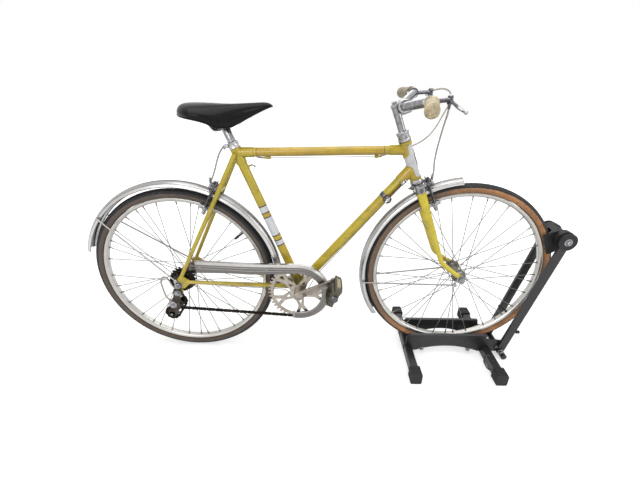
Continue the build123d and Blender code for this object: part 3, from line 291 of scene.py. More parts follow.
def plated(name, light=(168, 168, 172), dark=(70, 68, 68), rough=(0.12, 0.34), pits=0.715, streak=(1, 1, 1),
           dull=0.35, under=0.75, axle=None, streaky=0.55, shade_of=None, metal=1):
    """Old plated or polished metal: dull clouds, streaks, brown pits, and painted shade on what faces down.

    The grain runs round an axle if one is given, and shade_of gives painted shade: how much darker the metal
    is at a place.
    """
    g = Graph(name)
    light, dark = paint(*light), paint(*dark)
    place = g.round_wheel(axle) if axle else None
    cloud = g.fade(g.noise(26, 5, 0.65, place=place), 0.38, 0.72, 0, dull)
    streaks = g.noise(110, 3, 0.6, stretch=streak, place=place)
    spots = g.fade(g.noise(420, 3, 0.65), pits, pits + 0.03)
    colour = g.mix(cloud, light, dark)
    colour = g.mix(g.fade(streaks, 0.4, 0.72, 0, streaky), colour, dark)
    if shade_of:
        colour = g.mix(shade_of(g), colour, dark)
    # painted shade: surfaces that face down turn darker, by as much as under
    colour = g.mix(g.fade(g.facing_to(UP), 0.25, -0.7, 0, under), colour, dark)
    colour = g.mix(spots, colour, RUST)
    gloss = g.sum("ADD", g.fade(streaks, 0.3, 0.7, *rough), g.sum("MULTIPLY", spots, 0.4))
    return g.finish(Base_Color=colour, Metallic=metal, Roughness=gloss,
                    Normal=g.bump(g.sum("SUBTRACT", streaks, spots), 0.02))


def rubber(name, light, dark, rough=0.62, grain=900, depth=0.05):
    g = Graph(name)
    dust = g.fade(g.noise(30, 5, 0.7), 0.45, 0.8, 0, 0.6)
    return g.finish(Base_Color=g.mix(dust, paint(*dark), paint(*light)),
                    Roughness=g.fade(dust, 0, 0.6, rough, rough + 0.2),
                    Normal=g.bump(g.noise(grain, 3, 0.6), depth), Specular_IOR_Level=0.4)


def tyre_skin(name, axle, wall, wall_dark, wall_top, back_wall_tone, tread=(28, 28, 31)):
    """Black tread over a skin side wall, cracked and browned near the tread, and greyer over the back part of
    its wall.
    """
    g = Graph(name)
    radius = g.from_axle(axle)
    patchy = g.noise(24, 5, 0.7)
    edge = g.sum("ADD", radius, g.fade(patchy, 0, 1, -0.0012, 0.0012))
    is_tread = g.fade(edge, wall_top * MM - 0.0004, wall_top * MM + 0.0004)
    cracks = g.fade(g.cells(240, "DISTANCE_TO_EDGE"), 0, 0.12, 1, 0)
    wall_colour = g.mix(g.fade(patchy, 0.35, 0.68), paint(*wall), paint(*wall_dark))
    rim_dirt = g.fade(radius, 0.2565, 0.2505, 0, 0.55)
    wall_colour = g.mix(rim_dirt, wall_colour, paint(86, 66, 48))
    behind = g.fade(g.sum("SUBTRACT", g.along(axle, FORWARD), g.sum("MULTIPLY", g.along(axle, UP), 0.35)),
                    -0.06, -0.19, 0, 0.85)
    wall_colour = g.mix(behind, wall_colour, paint(*back_wall_tone))
    wall_colour = g.mix(g.sum("MULTIPLY", cracks, 0.45), wall_colour, paint(70, 52, 38))
    dust = g.fade(g.noise(60, 4, 0.7), 0.5, 0.8, 0, 0.4)
    tread_colour = g.mix(dust, paint(*tread), paint(92, 86, 80))
    return g.finish(Base_Color=g.mix(is_tread, wall_colour, tread_colour), Roughness=0.75,
                    Normal=g.bump(g.sum("SUBTRACT", g.noise(800, 3, 0.6), cracks), 0.06))


def stand_coat():
    """Satin powder coat with an even fine grain and a few scuffs."""
    g = Graph("stand_coat")
    scuffs = g.fade(g.noise(70, 3, 0.5, stretch=(1, 1, 6)), 0.66, 0.72, 0, 0.5)
    colour = g.mix(g.fade(g.noise(24, 4, 0.6), 0.4, 0.7), paint(22, 22, 25), paint(32, 32, 36))
    return g.finish(Base_Color=g.mix(scuffs, colour, paint(70, 70, 72)),
                    Roughness=g.fade(g.noise(300, 2, 0.5), 0.3, 0.7, 0.34, 0.5),
                    Normal=g.bump(g.noise(1500, 2, 0.5), 0.03))


def saddle_hide():
    """Glossy black moulded cover with a fine leather grain and polished high spots."""
    g = Graph("saddle_hide")
    grain = g.cells(950)
    wear = g.fade(g.noise(22, 4, 0.6), 0.45, 0.75)
    return g.finish(Base_Color=g.mix(wear, paint(9, 9, 11), paint(16, 16, 19)),
                    Roughness=g.fade(wear, 0, 1, 0.3, 0.42), Normal=g.bump(grain, 0.03),
                    Specular_IOR_Level=0.12, Coat_Weight=0.08, Coat_Roughness=0.05)


def grip_moulding(name, light, dark):
    """Aged cream plastic: mottled, dirtier in its hollows."""
    g = Graph(name)
    mottle = g.fade(g.noise(110, 5, 0.75), 0.36, 0.62)
    dirt = g.fade(g.noise(42, 4, 0.6), 0.46, 0.72, 0, 0.85)
    colour = g.mix(dirt, g.mix(mottle, paint(*light), paint(*dark)), paint(112, 102, 80))
    return g.finish(Base_Color=colour, Roughness=g.fade(mottle, 0, 1, 0.38, 0.55),
                    Normal=g.bump(g.noise(500, 3, 0.6), 0.06), Subsurface_Weight=0.04)


FRONT_CREST, REAR_CREST = 292, 298.5


def painted_guard_shade(axle, crest_r):
    """Painted shade on a mudguard: dark lines along its beads and a darker crown, with the lower band left
    light.
    """
    def shade(g):
        radius = g.from_axle(axle)
        lines = g.lines(radius, [(crest_r - drop) * MM for drop in (0.4, 7.2, 15.6)], 0.0014)
        return g.sum("MAXIMUM", g.sum("MULTIPLY", lines, 0.85),
                     g.fade(radius, (crest_r - 8.5) * MM, (crest_r - 4.5) * MM, 0, 0.38))
    return shade


def cover_shade(g):
    """Painted shade: the flat face of the chain guard, which faces right, is darker than its bevelled edges.
    """
    return g.fade(g.facing_to(RIGHT), 0.86, 0.97, 0, 0.85)


GUARD = dict(light=(206, 205, 204), dark=(104, 102, 100), rough=(0.2, 0.38), streak=(0.5, 22, 22), pits=0.74,
             under=0.4, dull=0.14, streaky=0.3)
RIM = dict(light=(196, 194, 190), dark=(126, 122, 116), rough=(0.26, 0.44), streak=(0.6, 14, 14), pits=0.73,
           under=0.2, dull=0.2, streaky=0.35)
METALS = {
    "chrome": {},
    "bright_chrome": dict(light=(206, 206, 208), dark=(96, 94, 92)),
    "dark_chrome": dict(light=(112, 112, 116), dark=(44, 43, 44)),
    "front_guard": dict(axle=FRONT, shade_of=painted_guard_shade(FRONT, FRONT_CREST), **GUARD),
    "rear_guard": dict(axle=REAR, shade_of=painted_guard_shade(REAR, REAR_CREST), **GUARD),
    "stay_wire": dict(light=(150, 149, 148), dark=(84, 82, 80), dull=0.2, streaky=0.2),
    "cover": dict(light=(176, 174, 172), dark=(100, 97, 94), rough=(0.24, 0.42), streak=(1, 6, 5), under=0.5,
                  dull=0.2, streaky=0.3, shade_of=cover_shade),
    "front_rim": dict(axle=FRONT, **RIM),
    "rear_rim": dict(axle=REAR, **RIM),
    "wire": dict(light=(122, 121, 120), dark=(92, 90, 88), rough=(0.4, 0.5), under=0, pits=0.8, dull=0.1,
                 streaky=0, metal=0.2),
    "gear_wire": dict(light=(92, 84, 60), dark=(60, 54, 40), rough=(0.5, 0.6), dull=0.3, streaky=0,
                      metal=0.2),
    "hub": dict(light=(150, 146, 138), dark=(78, 72, 62), rough=(0.25, 0.5), dull=0.8),
    "crank": dict(light=(180, 172, 162), dark=(104, 96, 88), rough=(0.28, 0.46), dull=0.4, streaky=0.3,
                  under=0.6),
    "oily": dict(light=(92, 85, 78), dark=(34, 30, 27), rough=(0.3, 0.55), dull=1),
    "chain": dict(light=(52, 47, 43), dark=(20, 18, 17), rough=(0.35, 0.6), dull=1),
    "cage": dict(light=(120, 117, 106), dark=(62, 60, 50), rough=(0.35, 0.6), dull=0.9),
    "brown_steel": dict(light=(112, 92, 74), dark=(62, 48, 38), rough=(0.3, 0.5), dull=0.9),
}
ENAMELS = {"yellow": old_yellow, "fork_yellow": bright_yellow, "banded": banded_yellow,
           "panelled": panelled_yellow, "white": plain_white, "badge": faded_badge}
M = {name: plated(name, **look) for name, look in METALS.items()}
M.update({name: enamel(name, colour_of) for name, colour_of in ENAMELS.items()})
M.update({
    "front_tyre": tyre_skin("front_tyre_skin", FRONT, (206, 148, 98), (150, 108, 74), 265, (112, 96, 82)),
    "rear_tyre": tyre_skin("rear_tyre_skin", REAR, (104, 94, 86), (78, 70, 63), 262.5, (96, 86, 78)),
    "black_rubber": rubber("black_rubber", (62, 62, 64), (22, 22, 24)),
    "stand_rubber": rubber("stand_moulding", (38, 38, 41), (19, 19, 21), rough=0.55, grain=700, depth=0.12),
    "sleeve": rubber("cable_sleeve", (200, 194, 184), (174, 168, 160), rough=0.45, depth=0.01),
    "grip": grip_moulding("grip_plastic", (222, 208, 172), (172, 154, 120)),
    "left_grip": grip_moulding("left_grip_plastic", (170, 164, 142), (124, 114, 90)),
    "saddle": saddle_hide(),
    "stand": stand_coat(),
})
# The materials of each slot; the first is what a CAD node with that slot wears.
SLOT_MATERIALS = {
    "frame_paint": "yellow fork_yellow banded panelled badge",
    "white_paint": "white",
    "chrome": "chrome bright_chrome dark_chrome",
    "guard_metal": "front_guard rear_guard cover stay_wire",
    "rim_metal": "front_rim rear_rim",
    "spoke_metal": "hub wire gear_wire",
    "tyre_rubber": "front_tyre rear_tyre",
    "crank_metal": "crank",
    "chain_metal": "oily chain brown_steel",
    "pedal_metal": "cage",
    "grip_plastic": "grip left_grip",
    "saddle_cover": "saddle",
    "cable_sleeve": "sleeve",
    "stand_paint": "stand",
    "stand_rubber": "stand_rubber black_rubber",
}
# What CAD nodes wear where it isn't the first material of their slot.
NODE_PAINT = {
    "seat_tube": "banded", "top_tube": "panelled", "head_tube": "white", "fork_blade_left": "fork_yellow",
    "fork_blade_right": "fork_yellow", "front_mudguard_stay": "stay_wire", "rear_mudguard_stay": "stay_wire",
    "chain_guard": "cover", "front_spokes": "wire", "rear_spokes": "wire", "shift_lever": "brown_steel",
    "gear_cable": "gear_wire",
}
node_slot = {part["node"]: part["material_slot"] for part in frame["record"]["subparts"]}
for name, node in frame["nodes"].items():
    node.data.materials.clear()
    node.data.materials.append(M[NODE_PAINT.get(name, SLOT_MATERIALS[node_slot[name]].split()[0])])
    node.data.shade_smooth()


# ---- mesh building
def show(name, data):
    """A new object of the scene."""
    shown = bpy.data.objects.new(name, data)
    bpy.context.scene.collection.objects.link(shown)
    return shown


def square_to(axis):
    """Two directions square to an axis and to each other."""
    first = axis.cross(UP if abs(axis.z) < 0.9 else FORWARD).normalized()
    return first, axis.cross(first).normalized()


def smooth(points, steps=6):
    """More points on an even curve through the given ones."""
    ends = [points[0] * 2 - points[1], *points, points[-1] * 2 - points[-2]]
    out = []
    for a, b, c, d in zip(ends, ends[1:], ends[2:], ends[3:]):
        for i in range(steps):
            t = i / steps
            out.append((b * 2 + (c - a) * t + (a * 2 - b * 5 + c * 4 - d) * t ** 2
                        + (b * 3 - a - c * 3 + d) * t ** 3) / 2)
    out.append(points[-1])
    return out


def oblong(half_u, half_v):
    """A rectangle's outline about its middle, for a slab."""
    def outline(inset):
        u, v = half_u - inset, half_v - inset
        return [(-u, -v), (u, -v), (u, v), (-u, v)]
    return outline


def stretch_list(values, count):
    """A short list of numbers spread evenly over count places."""
    if isinstance(values, (int, float)):
        return [values] * count
    out = []
    for i in range(count):
        place = i / (count - 1) * (len(values) - 1)
        low = min(int(place), len(values) - 2)
        out.append(values[low] + (values[low + 1] - values[low]) * (place - low))
    return out


class Solid:
    """A piece's mesh, built up in millimetres."""

    def __init__(self):
        self.points, self.faces = [], []

    def loft(self, rings, ends=True, closed=False):
        """Skins rings of equal count, with a face over the first and the last ring."""
        base, count = len(self.points), len(rings[0])
        for ring in rings:
            self.points.extend(ring)
        for i in range(len(rings) if closed else len(rings) - 1):
            a, b = base + i * count, base + (i + 1) % len(rings) * count
            for j in range(count):
                k = (j + 1) % count
                self.faces.append((a + j, a + k, b + k, b + j))
        if ends and not closed:
            self.faces.append(tuple(range(base + count - 1, base - 1, -1)))
            self.faces.append(tuple(range(base + (len(rings) - 1) * count, base + len(rings) * count)))
        return self

    def lathe(self, origin, axis, profile, segments=28, closed=False):
        """Turns (along, radius) steps about an axis; closed joins the last step to the first."""
        u, v = square_to(axis)
        rings = []
        for along, radius in profile:
            middle = origin + axis * along
            rings.append([middle + (u * cos(tau * i / segments) + v * sin(tau * i / segments)) * radius
                          for i in range(segments)])
        return self.loft(rings, closed=closed)

    def tube(self, points, radius, sides=12, flat=1, up=UP):
        """A bar along points; radius may be a list, and flat is its thickness along up over its width."""
        radii, flats = stretch_list(radius, len(points)), stretch_list(flat, len(points))
        rings = []
        for i, point in enumerate(points):
            lead = (points[min(i + 1, len(points) - 1)] - points[max(i - 1, 0)]).normalized()
            across = lead.cross(up).normalized()
            over = across.cross(lead)
            rings.append([point + (across * cos(tau * j / sides) + over * flats[i] * sin(tau * j / sides))
                          * radii[i] for j in range(sides)])
        return self.loft(rings)

    def slab(self, outline_of, origin, u, v, thickness, edge=0.6):
        """A plate with chamfered edges; outline_of(inset) gives (u, v) points in millimetres."""
        out = u.cross(v).normalized()
        rings = []
        for depth, inset in ((0, edge), (edge, 0), (thickness - edge, 0), (thickness, edge)):
            rings.append([origin + u * a + v * b + out * depth for a, b in outline_of(inset)])
        return self.loft(rings)

    def bolt(self, origin, axis, size, height=5, washer=True, stub=0):
        """A hexagon head, with its washer under it and a threaded end past it."""
        half = size * 0.577
        if washer:
            self.lathe(origin, axis, [(-0.2, half * 1.3), (0.9, half * 1.3), (1.2, half * 1.2)], 24)
        base = 1.1 if washer else 0
        self.lathe(origin, axis, [(base, half * 0.95), (base + 0.5, half), (base + height - 0.8, half),
                                  (base + height, half * 0.86), (base + height, half * 0.5)], 6)
        if stub:
            steps = [(base + height - 1 + i * 0.5, half * (0.5 if i % 2 else 0.44))
                for i in range(int(stub * 2))]
            self.lathe(origin, axis, steps + [(base + height - 1 + stub, half * 0.3)], 14)
        return self

    def knob(self, origin, axis, radius, height):
        """A low domed screw head."""
        return self.lathe(origin, axis, [(-0.3, radius), (height * 0.4, radius), (height * 0.8, radius * 0.8),
                                         (height, radius * 0.4)], 20)

    def spring(self, origin, axis, radius, wire, length, turns):
        """A coil spring about an axis."""
        u, v = square_to(axis)
        count = int(turns * 14)
        points = [origin + axis * (length * i / count)
                  + (u * cos(tau * turns * i / count) + v * sin(tau * turns * i / count)) * radius
                  for i in range(count + 1)]
        return self.tube(points, wire, 7, up=axis)

    def finish(self, name, body, material, replaces=(), sharp=38):
        mesh = bpy.data.meshes.new(name)
        mesh.from_pydata([tuple(point * MM) for point in self.points], [], self.faces)
        form = bmesh.new()
        form.from_mesh(mesh)
        bmesh.ops.recalc_face_normals(form, faces=form.faces)
        form.to_mesh(mesh)
        form.free()
        mesh.materials.append(M[material])
        mesh.shade_smooth()
        mesh.set_sharp_from_angle(angle=radians(sharp))
        piece = show(name, mesh)
        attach(piece, body)
        if replaces:
            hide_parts(*replaces)
        return piece


# ---- wheels
WHEEL_R, TYRE_R, RIM_OUT, RIM_IN, RIM_HALF = 275, 15, 248.9, 238.5, 10.5
# One side of the tread, from its crest: degrees round the tyre's section, and the depth of a groove.
TREAD = ((0, 0), (7, 0), (9, 0.7), (13, 0.7), (15, 0), (27, 0), (29, 0.7), (33, 0.7), (35, 0), (48, 0),
    (60, 0.1), (63, 0.9), (70, 0.9), (82, 0.9), (88, 0.6), (91, 0.9), (105, 1), (118, 0.9), (123, 0.4),
    (128, 0.8), (137, 1.6))
BLOCK_FROM, BLOCK_TO, BLOCK_GAP = 35, 60, 0.8
BLOCKS = 190


def make_tyre(prefix, axle):
    """A narrow road tyre: three ribs, a row of small blocks each side, and lines moulded in its walls."""
    section = [(-a, depth) for a, depth in reversed(TREAD[1:])] + list(TREAD)
    rings = []
    for i in range(BLOCKS * 3):
        ring = []
        for a, depth in section:
            cut = i % 3 == 0 and BLOCK_FROM <= abs(a) <= BLOCK_TO
            r = TYRE_R - depth - (BLOCK_GAP if cut else 0)
            turn = radians(a)
            ring.append(on_wheel(axle, WHEEL_R - TYRE_R + r * cos(turn), tau * i / (BLOCKS * 3),
                r * sin(turn)))
        rings.append(ring)
    Solid().loft(rings, closed=True).finish(f"{prefix}_tread_and_walls", f"{prefix}_wheel", f"{prefix}_tyre",
                                            [f"{prefix}_tyre"], sharp=60)


def make_rim(prefix, axle, valve_turn):
    """A hooked steel rim with a raised well, and the tyre's valve."""
    half = [(RIM_OUT - 0.6, RIM_HALF - 1.2), (RIM_OUT, RIM_HALF - 0.5), (RIM_OUT - 0.6, RIM_HALF),
        (RIM_OUT - 2.4, RIM_HALF), (RIM_OUT - 3.2, RIM_HALF - 0.8), (RIM_OUT - 6, RIM_HALF - 0.9),
        (RIM_IN + 3, RIM_HALF - 1.8), (RIM_IN + 1.6, 6.6), (RIM_IN + 0.2, 5.6), (RIM_IN, 4.4),
        (RIM_IN + 0.5, 2.6)]
    section = half + [(r, -y) for r, y in reversed(half)]
    rim = Solid().lathe(axle, LEFT, [(y, r) for r, y in section], 180, closed=True)
    rim.finish(f"{prefix}_rim_hoop", f"{prefix}_wheel", f"{prefix}_rim", [f"{prefix}_rim"], sharp=50)
    foot = on_wheel(axle, RIM_IN + 1, valve_turn)
    inward = (axle - foot).normalized()
    valve = Solid().lathe(foot, inward, [(0, 4.2), (1.2, 4.2), (1.6, 2.7), (14, 2.6)], 16)
    for i in range(9):
        valve.lathe(foot, inward, [(14 + i, 2.3), (14.3 + i, 2.7), (14.7 + i, 2.7), (15 + i, 2.3)], 12)
    valve.lathe(foot, inward, [(23, 3.6), (24, 3.9), (34, 3.7), (35.5, 3), (36.2, 1.2)], 16)
    valve.finish(f"{prefix}_valve", f"{prefix}_wheel", "black_rubber")


FLANGE_R, FLANGE_T, SPOKES_A_SIDE, SPOKE_LEAD = 21, 2.4, 18, radians(58)


def make_spoke_ends(prefix, axle, flanges):
    """The nipple in the rim and the bent head in the hub of each spoke."""
    nipples, heads = Solid(), Solid()
    for flange_y, shift in zip(flanges, (0, 0.5)):
        for i in range(SPOKES_A_SIDE):
            lead = 1 if i % 2 else -1
            hub_turn = tau * (i + shift) / SPOKES_A_SIDE
            face = lead * (FLANGE_T / 2 + 1.95)
            start = on_wheel(axle, FLANGE_R - 3, hub_turn, flange_y + face)
            end = on_wheel(axle, RIM_IN - 0.4, hub_turn + lead * SPOKE_LEAD)
            inward = (start - end).normalized()
            nipples.lathe(end - inward, inward, [(0, 2.6), (1.6, 2.5), (2.2, 1.9), (10, 1.7), (12, 1.3)], 10)
            across = LEFT * lead
            heads.lathe(start - across * (2 * FLANGE_T + 0.2), across,
                        [(0, 0.8), (0.5, 1.7), (1.1, 1.7), (1.4, 1.05), (5, 1.05), (5.6, 0.5)], 10)
    nipples.finish(f"{prefix}_spoke_nipples", f"{prefix}_wheel", "hub")
    heads.finish(f"{prefix}_spoke_heads", f"{prefix}_wheel", "wire")


def make_hub(prefix, axle, ends, flanges, bore):
    """A turned hub shell: barrel, two rounded flanges with a step, dust cups and an oil clip."""
    middle = sum(flanges) / 2

    def half(end, flange, way):
        """From an end to the barrel, over its flange."""
        t = FLANGE_T / 2
        over = ((-t - 4.5, 10.2), (-t - 3.4, 12.6), (-t - 0.6, 14.5), (-t, 15.5), (-t, FLANGE_R - 0.7),
                (-t / 2, FLANGE_R), (t / 2, FLANGE_R), (t, FLANGE_R - 0.7), (t, 15), (t + 3, 12), (t + 8, 10))
        return [(end, bore), (end, 8.6), (end + way * 1.2, 9.6)] + [(flange + way * a, r) for a, r in over]

    steps = half(ends[0], flanges[0], 1) + [(middle, 9.2)] + half(ends[1], flanges[1], -1)[::-1]
    hub = Solid().lathe(axle, LEFT, steps, 48, closed=True)
    hub.lathe(axle, LEFT, [(middle - 3.5, 9.3), (middle - 3.2, 9.9), (middle + 3.2, 9.9),
        (middle + 3.5, 9.3)], 40)
    hub.knob(axle + LEFT * middle + UP * 9.4, UP, 2.2, 2)
    hub.finish(f"{prefix}_hub_shell", f"{prefix}_wheel", "hub", [f"{prefix}_hub"], sharp=30)


make_tyre("front", FRONT)
make_tyre("rear", REAR)
make_rim("front", FRONT, radians(-38))
make_rim("rear", REAR, radians(36.6))
make_spoke_ends("front", FRONT, (-27, 27))
make_spoke_ends("rear", REAR, (-18, 34))
make_hub("front", FRONT, (-36.4, 36.4), (-27, 27), 4.7)
make_hub("rear", REAR, (-27, 43.4), (-18, 34), 5.2)


def make_axle_ends(prefix, axle, body, nut_y):
    """Domed washers, hexagon nuts and threaded ends on a wheel's axle."""
    ends = Solid()
    for side in (-1, 1):
        ends.bolt(axle + LEFT * side * nut_y, LEFT * side, 16.5, 8.5, stub=5)
    ends.finish(f"{prefix}_axle_nuts", body, "chrome")


make_axle_ends("front", FRONT, "fork", 50)
make_axle_ends("rear", REAR, "frame", 65)

# ---- mudguards
GUARD_DROP, GUARD_HALF = 16, 18
GUARD_ARC_R = (GUARD_HALF ** 2 + GUARD_DROP ** 2) / (2 * GUARD_DROP)
GUARD_EDGE_A = acos(1 - GUARD_DROP / GUARD_ARC_R)
GUARD_SKIN = 1.2


def guard_section(crest_r, inner):
    """(radius, y) across a mudguard: a crown between two raised beads, and straight skirts."""
    out = []
    count = 46
    for i in range(count + 1):
        a = GUARD_EDGE_A * (2 * i / count - 1)
        share = abs(a) / GUARD_EDGE_A
        bead = 0.9 * max(0, 1 - abs(share - 0.42) / 0.05) + 0.5 * max(0, 1 - abs(share - 0.72) / 0.04)
        r = GUARD_ARC_R - (GUARD_SKIN if inner else 0) + bead
        out.append((crest_r - GUARD_ARC_R + r * cos(a), r * sin(a)))
    return out


def make_guard(prefix, axle, body, crest_r, start, end, steps):
    """A beaded steel mudguard with rolled edges and a rolled end."""
    outer = guard_section(crest_r, False)
    section = outer + guard_section(crest_r, True)[::-1]
    turns = [start + (end - start) * i / steps for i in range(steps + 1)]
    guard = Solid().loft([[on_wheel(axle, r, turn, y) for r, y in section] for turn in turns])
    for side in (0, -1):
        edge_r, edge_y = outer[side]
        inward = 0.6 if edge_y < 0 else -0.6
        guard.tube([on_wheel(axle, edge_r + 0.4, turn, edge_y + inward) for turn in turns], 1.25, 8, up=LEFT)
    for turn in (turns[0], turns[-1]):
        guard.tube([on_wheel(axle, r - 0.5, turn, y) for r, y in outer], 1.1, 8,
                   up=Vector((-sin(turn), 0, cos(turn))))
    guard.finish(f"{prefix}_guard_band", body, f"{prefix}_guard", [f"{prefix}_mudguard"], sharp=50)


make_guard("front", FRONT, "fork", FRONT_CREST, radians(96.3), radians(212), 110)
make_guard("rear", REAR, "frame", REAR_CREST, radians(-5), radians(163), 150)


def make_stay_fixings(prefix, axle, body, crest_r, stay_turn, eyelet, eyelet_y):
    """The screws that hold a mudguard stay to its guard and to the dropout."""
    screws = Solid()
    for side in (-1, 1):
        out = LEFT * side
        rim_end = on_wheel(axle, crest_r - GUARD_DROP + 8, stay_turn, side * (GUARD_HALF + 4.6))
        screws.knob(rim_end, out, 3.4, 2.2)
        screws.bolt(axle + eyelet + out * (eyelet_y + 2.4), out, 7, 3.2)
    screws.finish(f"{prefix}_stay_screws", body, "bright_chrome")


make_stay_fixings("front", FRONT, "fork", FRONT_CREST, radians(186.5), Vector((-16, 0, -17)), 52.4)
make_stay_fixings("rear", REAR, "frame", REAR_CREST, radians(139), Vector((-5, 0, 14)), 67.6)

# ---- chain and its wheels
PITCH = 12.7
CHAIN_Y = -43
BB_X, BB_Z = (BRACKET.x - REAR.x), BRACKET.z


def sprocket_r(teeth):
    return PITCH / (2 * sin(pi / teeth))


RING_R = sprocket_r(44)
UPPER_JOCKEY, LOWER_JOCKEY = (-18, 203), (-47, 159)
# x, z, pitch radius and the way the chain goes round, for the ring, a sprocket and the two jockey wheels
CHAIN_WHEELS = ((BB_X, BB_Z, RING_R, 1), (0, WHEEL_R, sprocket_r(15), 1),
                (*UPPER_JOCKEY, sprocket_r(10), -1), (*LOWER_JOCKEY, sprocket_r(10), -1))


def chain_path(step=0.5):
    """Points along the chain's closed loop, every step millimetres."""
    touch_in, touch_out = {}, {}
    count = len(CHAIN_WHEELS)
    for i in range(count):
        j = (i + 1) % count
        xa, za, ra, ta = CHAIN_WHEELS[i]
        xb, zb, rb, tb = CHAIN_WHEELS[j]
        q = tb * rb - ta * ra
        gap = hypot(xb - xa, zb - za)
        heading = atan2(zb - za, xb - xa) - atan2(q, sqrt(gap * gap - q * q))
        square = (sin(heading), -cos(heading))
        touch_out[i] = (xa + ta * ra * square[0], za + ta * ra * square[1])
        touch_in[j] = (xb + tb * rb * square[0], zb + tb * rb * square[1])
    path = []
    for i in range(count):
        x, z, r, turn = CHAIN_WHEELS[i]
        start = atan2(touch_in[i][1] - z, touch_in[i][0] - x)
        end = atan2(touch_out[i][1] - z, touch_out[i][0] - x)
        swing = (end - start) % tau if turn > 0 else -((start - end) % tau)
        bits = max(2, int(abs(swing) * r / step))
        path += [(x + r * cos(start + swing * k / bits), z + r * sin(start + swing * k / bits))
            for k in range(bits)]
        (xa, za), (xb, zb) = touch_out[i], touch_in[(i + 1) % count]
        bits = max(2, int(hypot(xb - xa, zb - za) / step))
        path += [(xa + (xb - xa) * k / bits, za + (zb - za) * k / bits) for k in range(bits)]
    return path


def even_points(path, pitch):
    """Points a whole number of times round a closed path, as near to the pitch as it divides."""
    closed = path + [path[0]]
    runs = [hypot(b[0] - a[0], b[1] - a[1]) for a, b in zip(closed, closed[1:])]
    count = 2 * round(sum(runs) / pitch / 2)
    spacing = sum(runs) / count
    out, gone, wanted = [], 0, 0
    for (xa, za), (xb, zb), run in zip(closed, closed[1:], runs):
        while wanted <= gone + run and len(out) < count:
            share = (wanted - gone) / run
            out.append((xa + (xb - xa) * share, za + (zb - za) * share))
            wanted += spacing
        gone += run
    return out


def link_outline(length, end_r, waist_r):
    """A link plate's outline: two round ends and a narrower waist."""
    def outline(inset):
        points = []
        for middle, start in ((length, -60), (0, 120)):
            points += [(middle + (end_r - inset) * cos(radians(start + a)),
                (end_r - inset) * sin(radians(start + a))) for a in range(0, 121, 20)]
            points.append((length / 2, (waist_r - inset) * (1 if start < 0 else -1)))
        return points
    return outline


LINK_T = 0.9
chain = Solid()
pins = even_points(chain_path(), PITCH)
for i, (x, z) in enumerate(pins):
    nx, nz = pins[(i + 1) % len(pins)]
    along = Vector((nx - x, 0, nz - z))
    lead = along.normalized()
    layer = 2 if i % 2 else 2.95
    for low in (layer, -layer - LINK_T):
        chain.slab(link_outline(along.length, 4, 2.9), at(x, CHAIN_Y + low, z), lead, LEFT.cross(lead),
            LINK_T, edge=0.2)
    chain.lathe(at(x, CHAIN_Y, z), LEFT, [(-4.2, 1.2), (-4, 1.8), (4, 1.8), (4.2, 1.2)], 10)
    chain.lathe(at(x, CHAIN_Y, z), LEFT, [(-1.9, 3.7), (-1.6, 3.9), (1.6, 3.9), (1.9, 3.7)], 12)
chain.finish("roller_chain", "frame", "chain", ["chain"])

# freewheel body between the sprockets, with its slotted locking ring
freewheel = Solid()
for i in range(5):
    y = CHAIN_Y + (3 - i) * 5.5
    freewheel.lathe(REAR + LEFT * y, LEFT, [(-2.6, 16), (-2.2, 20.5), (-1.3, 21.5), (1.3, 21.5), (2.2, 20.5),
                                                 (2.6, 16)], 40)
outer_y = CHAIN_Y + (3 - 4) * 5.5
freewheel.lathe(REAR + LEFT * outer_y, RIGHT, [(0, 20), (2.2, 19.5), (3.4, 17), (3.6, 13.5), (2, 12.5)], 40)
for i in range(4):
    freewheel.knob(on_wheel(REAR, 15.8, tau * i / 4, outer_y - 3.2), RIGHT, 1.3, 0.8)
freewheel.finish("freewheel_body", "rear_wheel", "oily")

# ---- cranks and pedals
crank_line = PEDALS["right"] - BRACKET
crank_line.y = 0
CRANK_LEN = crank_line.length
CRANK_UP = crank_line.normalized()
CRANK_INNER, CRANK_T = 58.5, 10


def crank_outline(length, boss_r, eye_r):
    """A crank arm's outline: a boss, a tapering arm and an eye."""
    def outline(inset):
        points = []
        for i in range(13):
            a = radians(-62 + 124 * i / 12)
            points.append((length + (eye_r - inset) * cos(a), (eye_r - inset) * sin(a)))
        points.append((length - 18, 7.6 - inset))
        points.append((24, 9.8 - inset))
        for i in range(19):
            a = radians(48 + 264 * i / 18)
            points.append(((boss_r - inset) * cos(a), (boss_r - inset) * sin(a)))
        points.append((24, -9.8 + inset))
        points.append((length - 18, -7.6 + inset))
        return points
    return outline


def make_crank(name, side):
    """A crank arm with softened edges, a sunk face, its bolt and dust cap, and the pedal pin's flats."""
    out = LEFT * side
    lead = CRANK_UP if side < 0 else -CRANK_UP
    start = BRACKET + out * CRANK_INNER
    arm = Solid().slab(crank_outline(CRANK_LEN, 14, 10.5), start, lead, out.cross(lead), CRANK_T, edge=1.8)
    face = start + out * CRANK_T
    inner = 44.3 if side < 0 else 39.5
    arm.lathe(BRACKET + out * inner, out, [(0, 11), (0, 13), (1.2, 14), (CRANK_INNER - inner + 1, 14)], 36)
    arm.lathe(face, out, [(-1.4, 11.6), (0.5, 11.2), (1, 10.4), (1, 8.2), (-0.8, 7.8)], 36)
    arm.bolt(face - out * 0.8, out, 11, 3)
    eye = face + lead * CRANK_LEN
    arm.lathe(eye, out, [(-1, 8.4), (0.8, 8.2), (1.6, 7.4)], 28)
    arm.lathe(eye, out, [(1.2, 6.6), (4.6, 6.6)], 6)
    arm.lathe(eye - out * CRANK_T, -out, [(-0.5, 5.2), (0.6, 5), (0.9, 3.2), (0.2, 2.2)], 24)
    arm.finish(f"{name}_crank_arm", "crank", "crank")


for name, side in SIDES.items():
    make_crank(name, side)

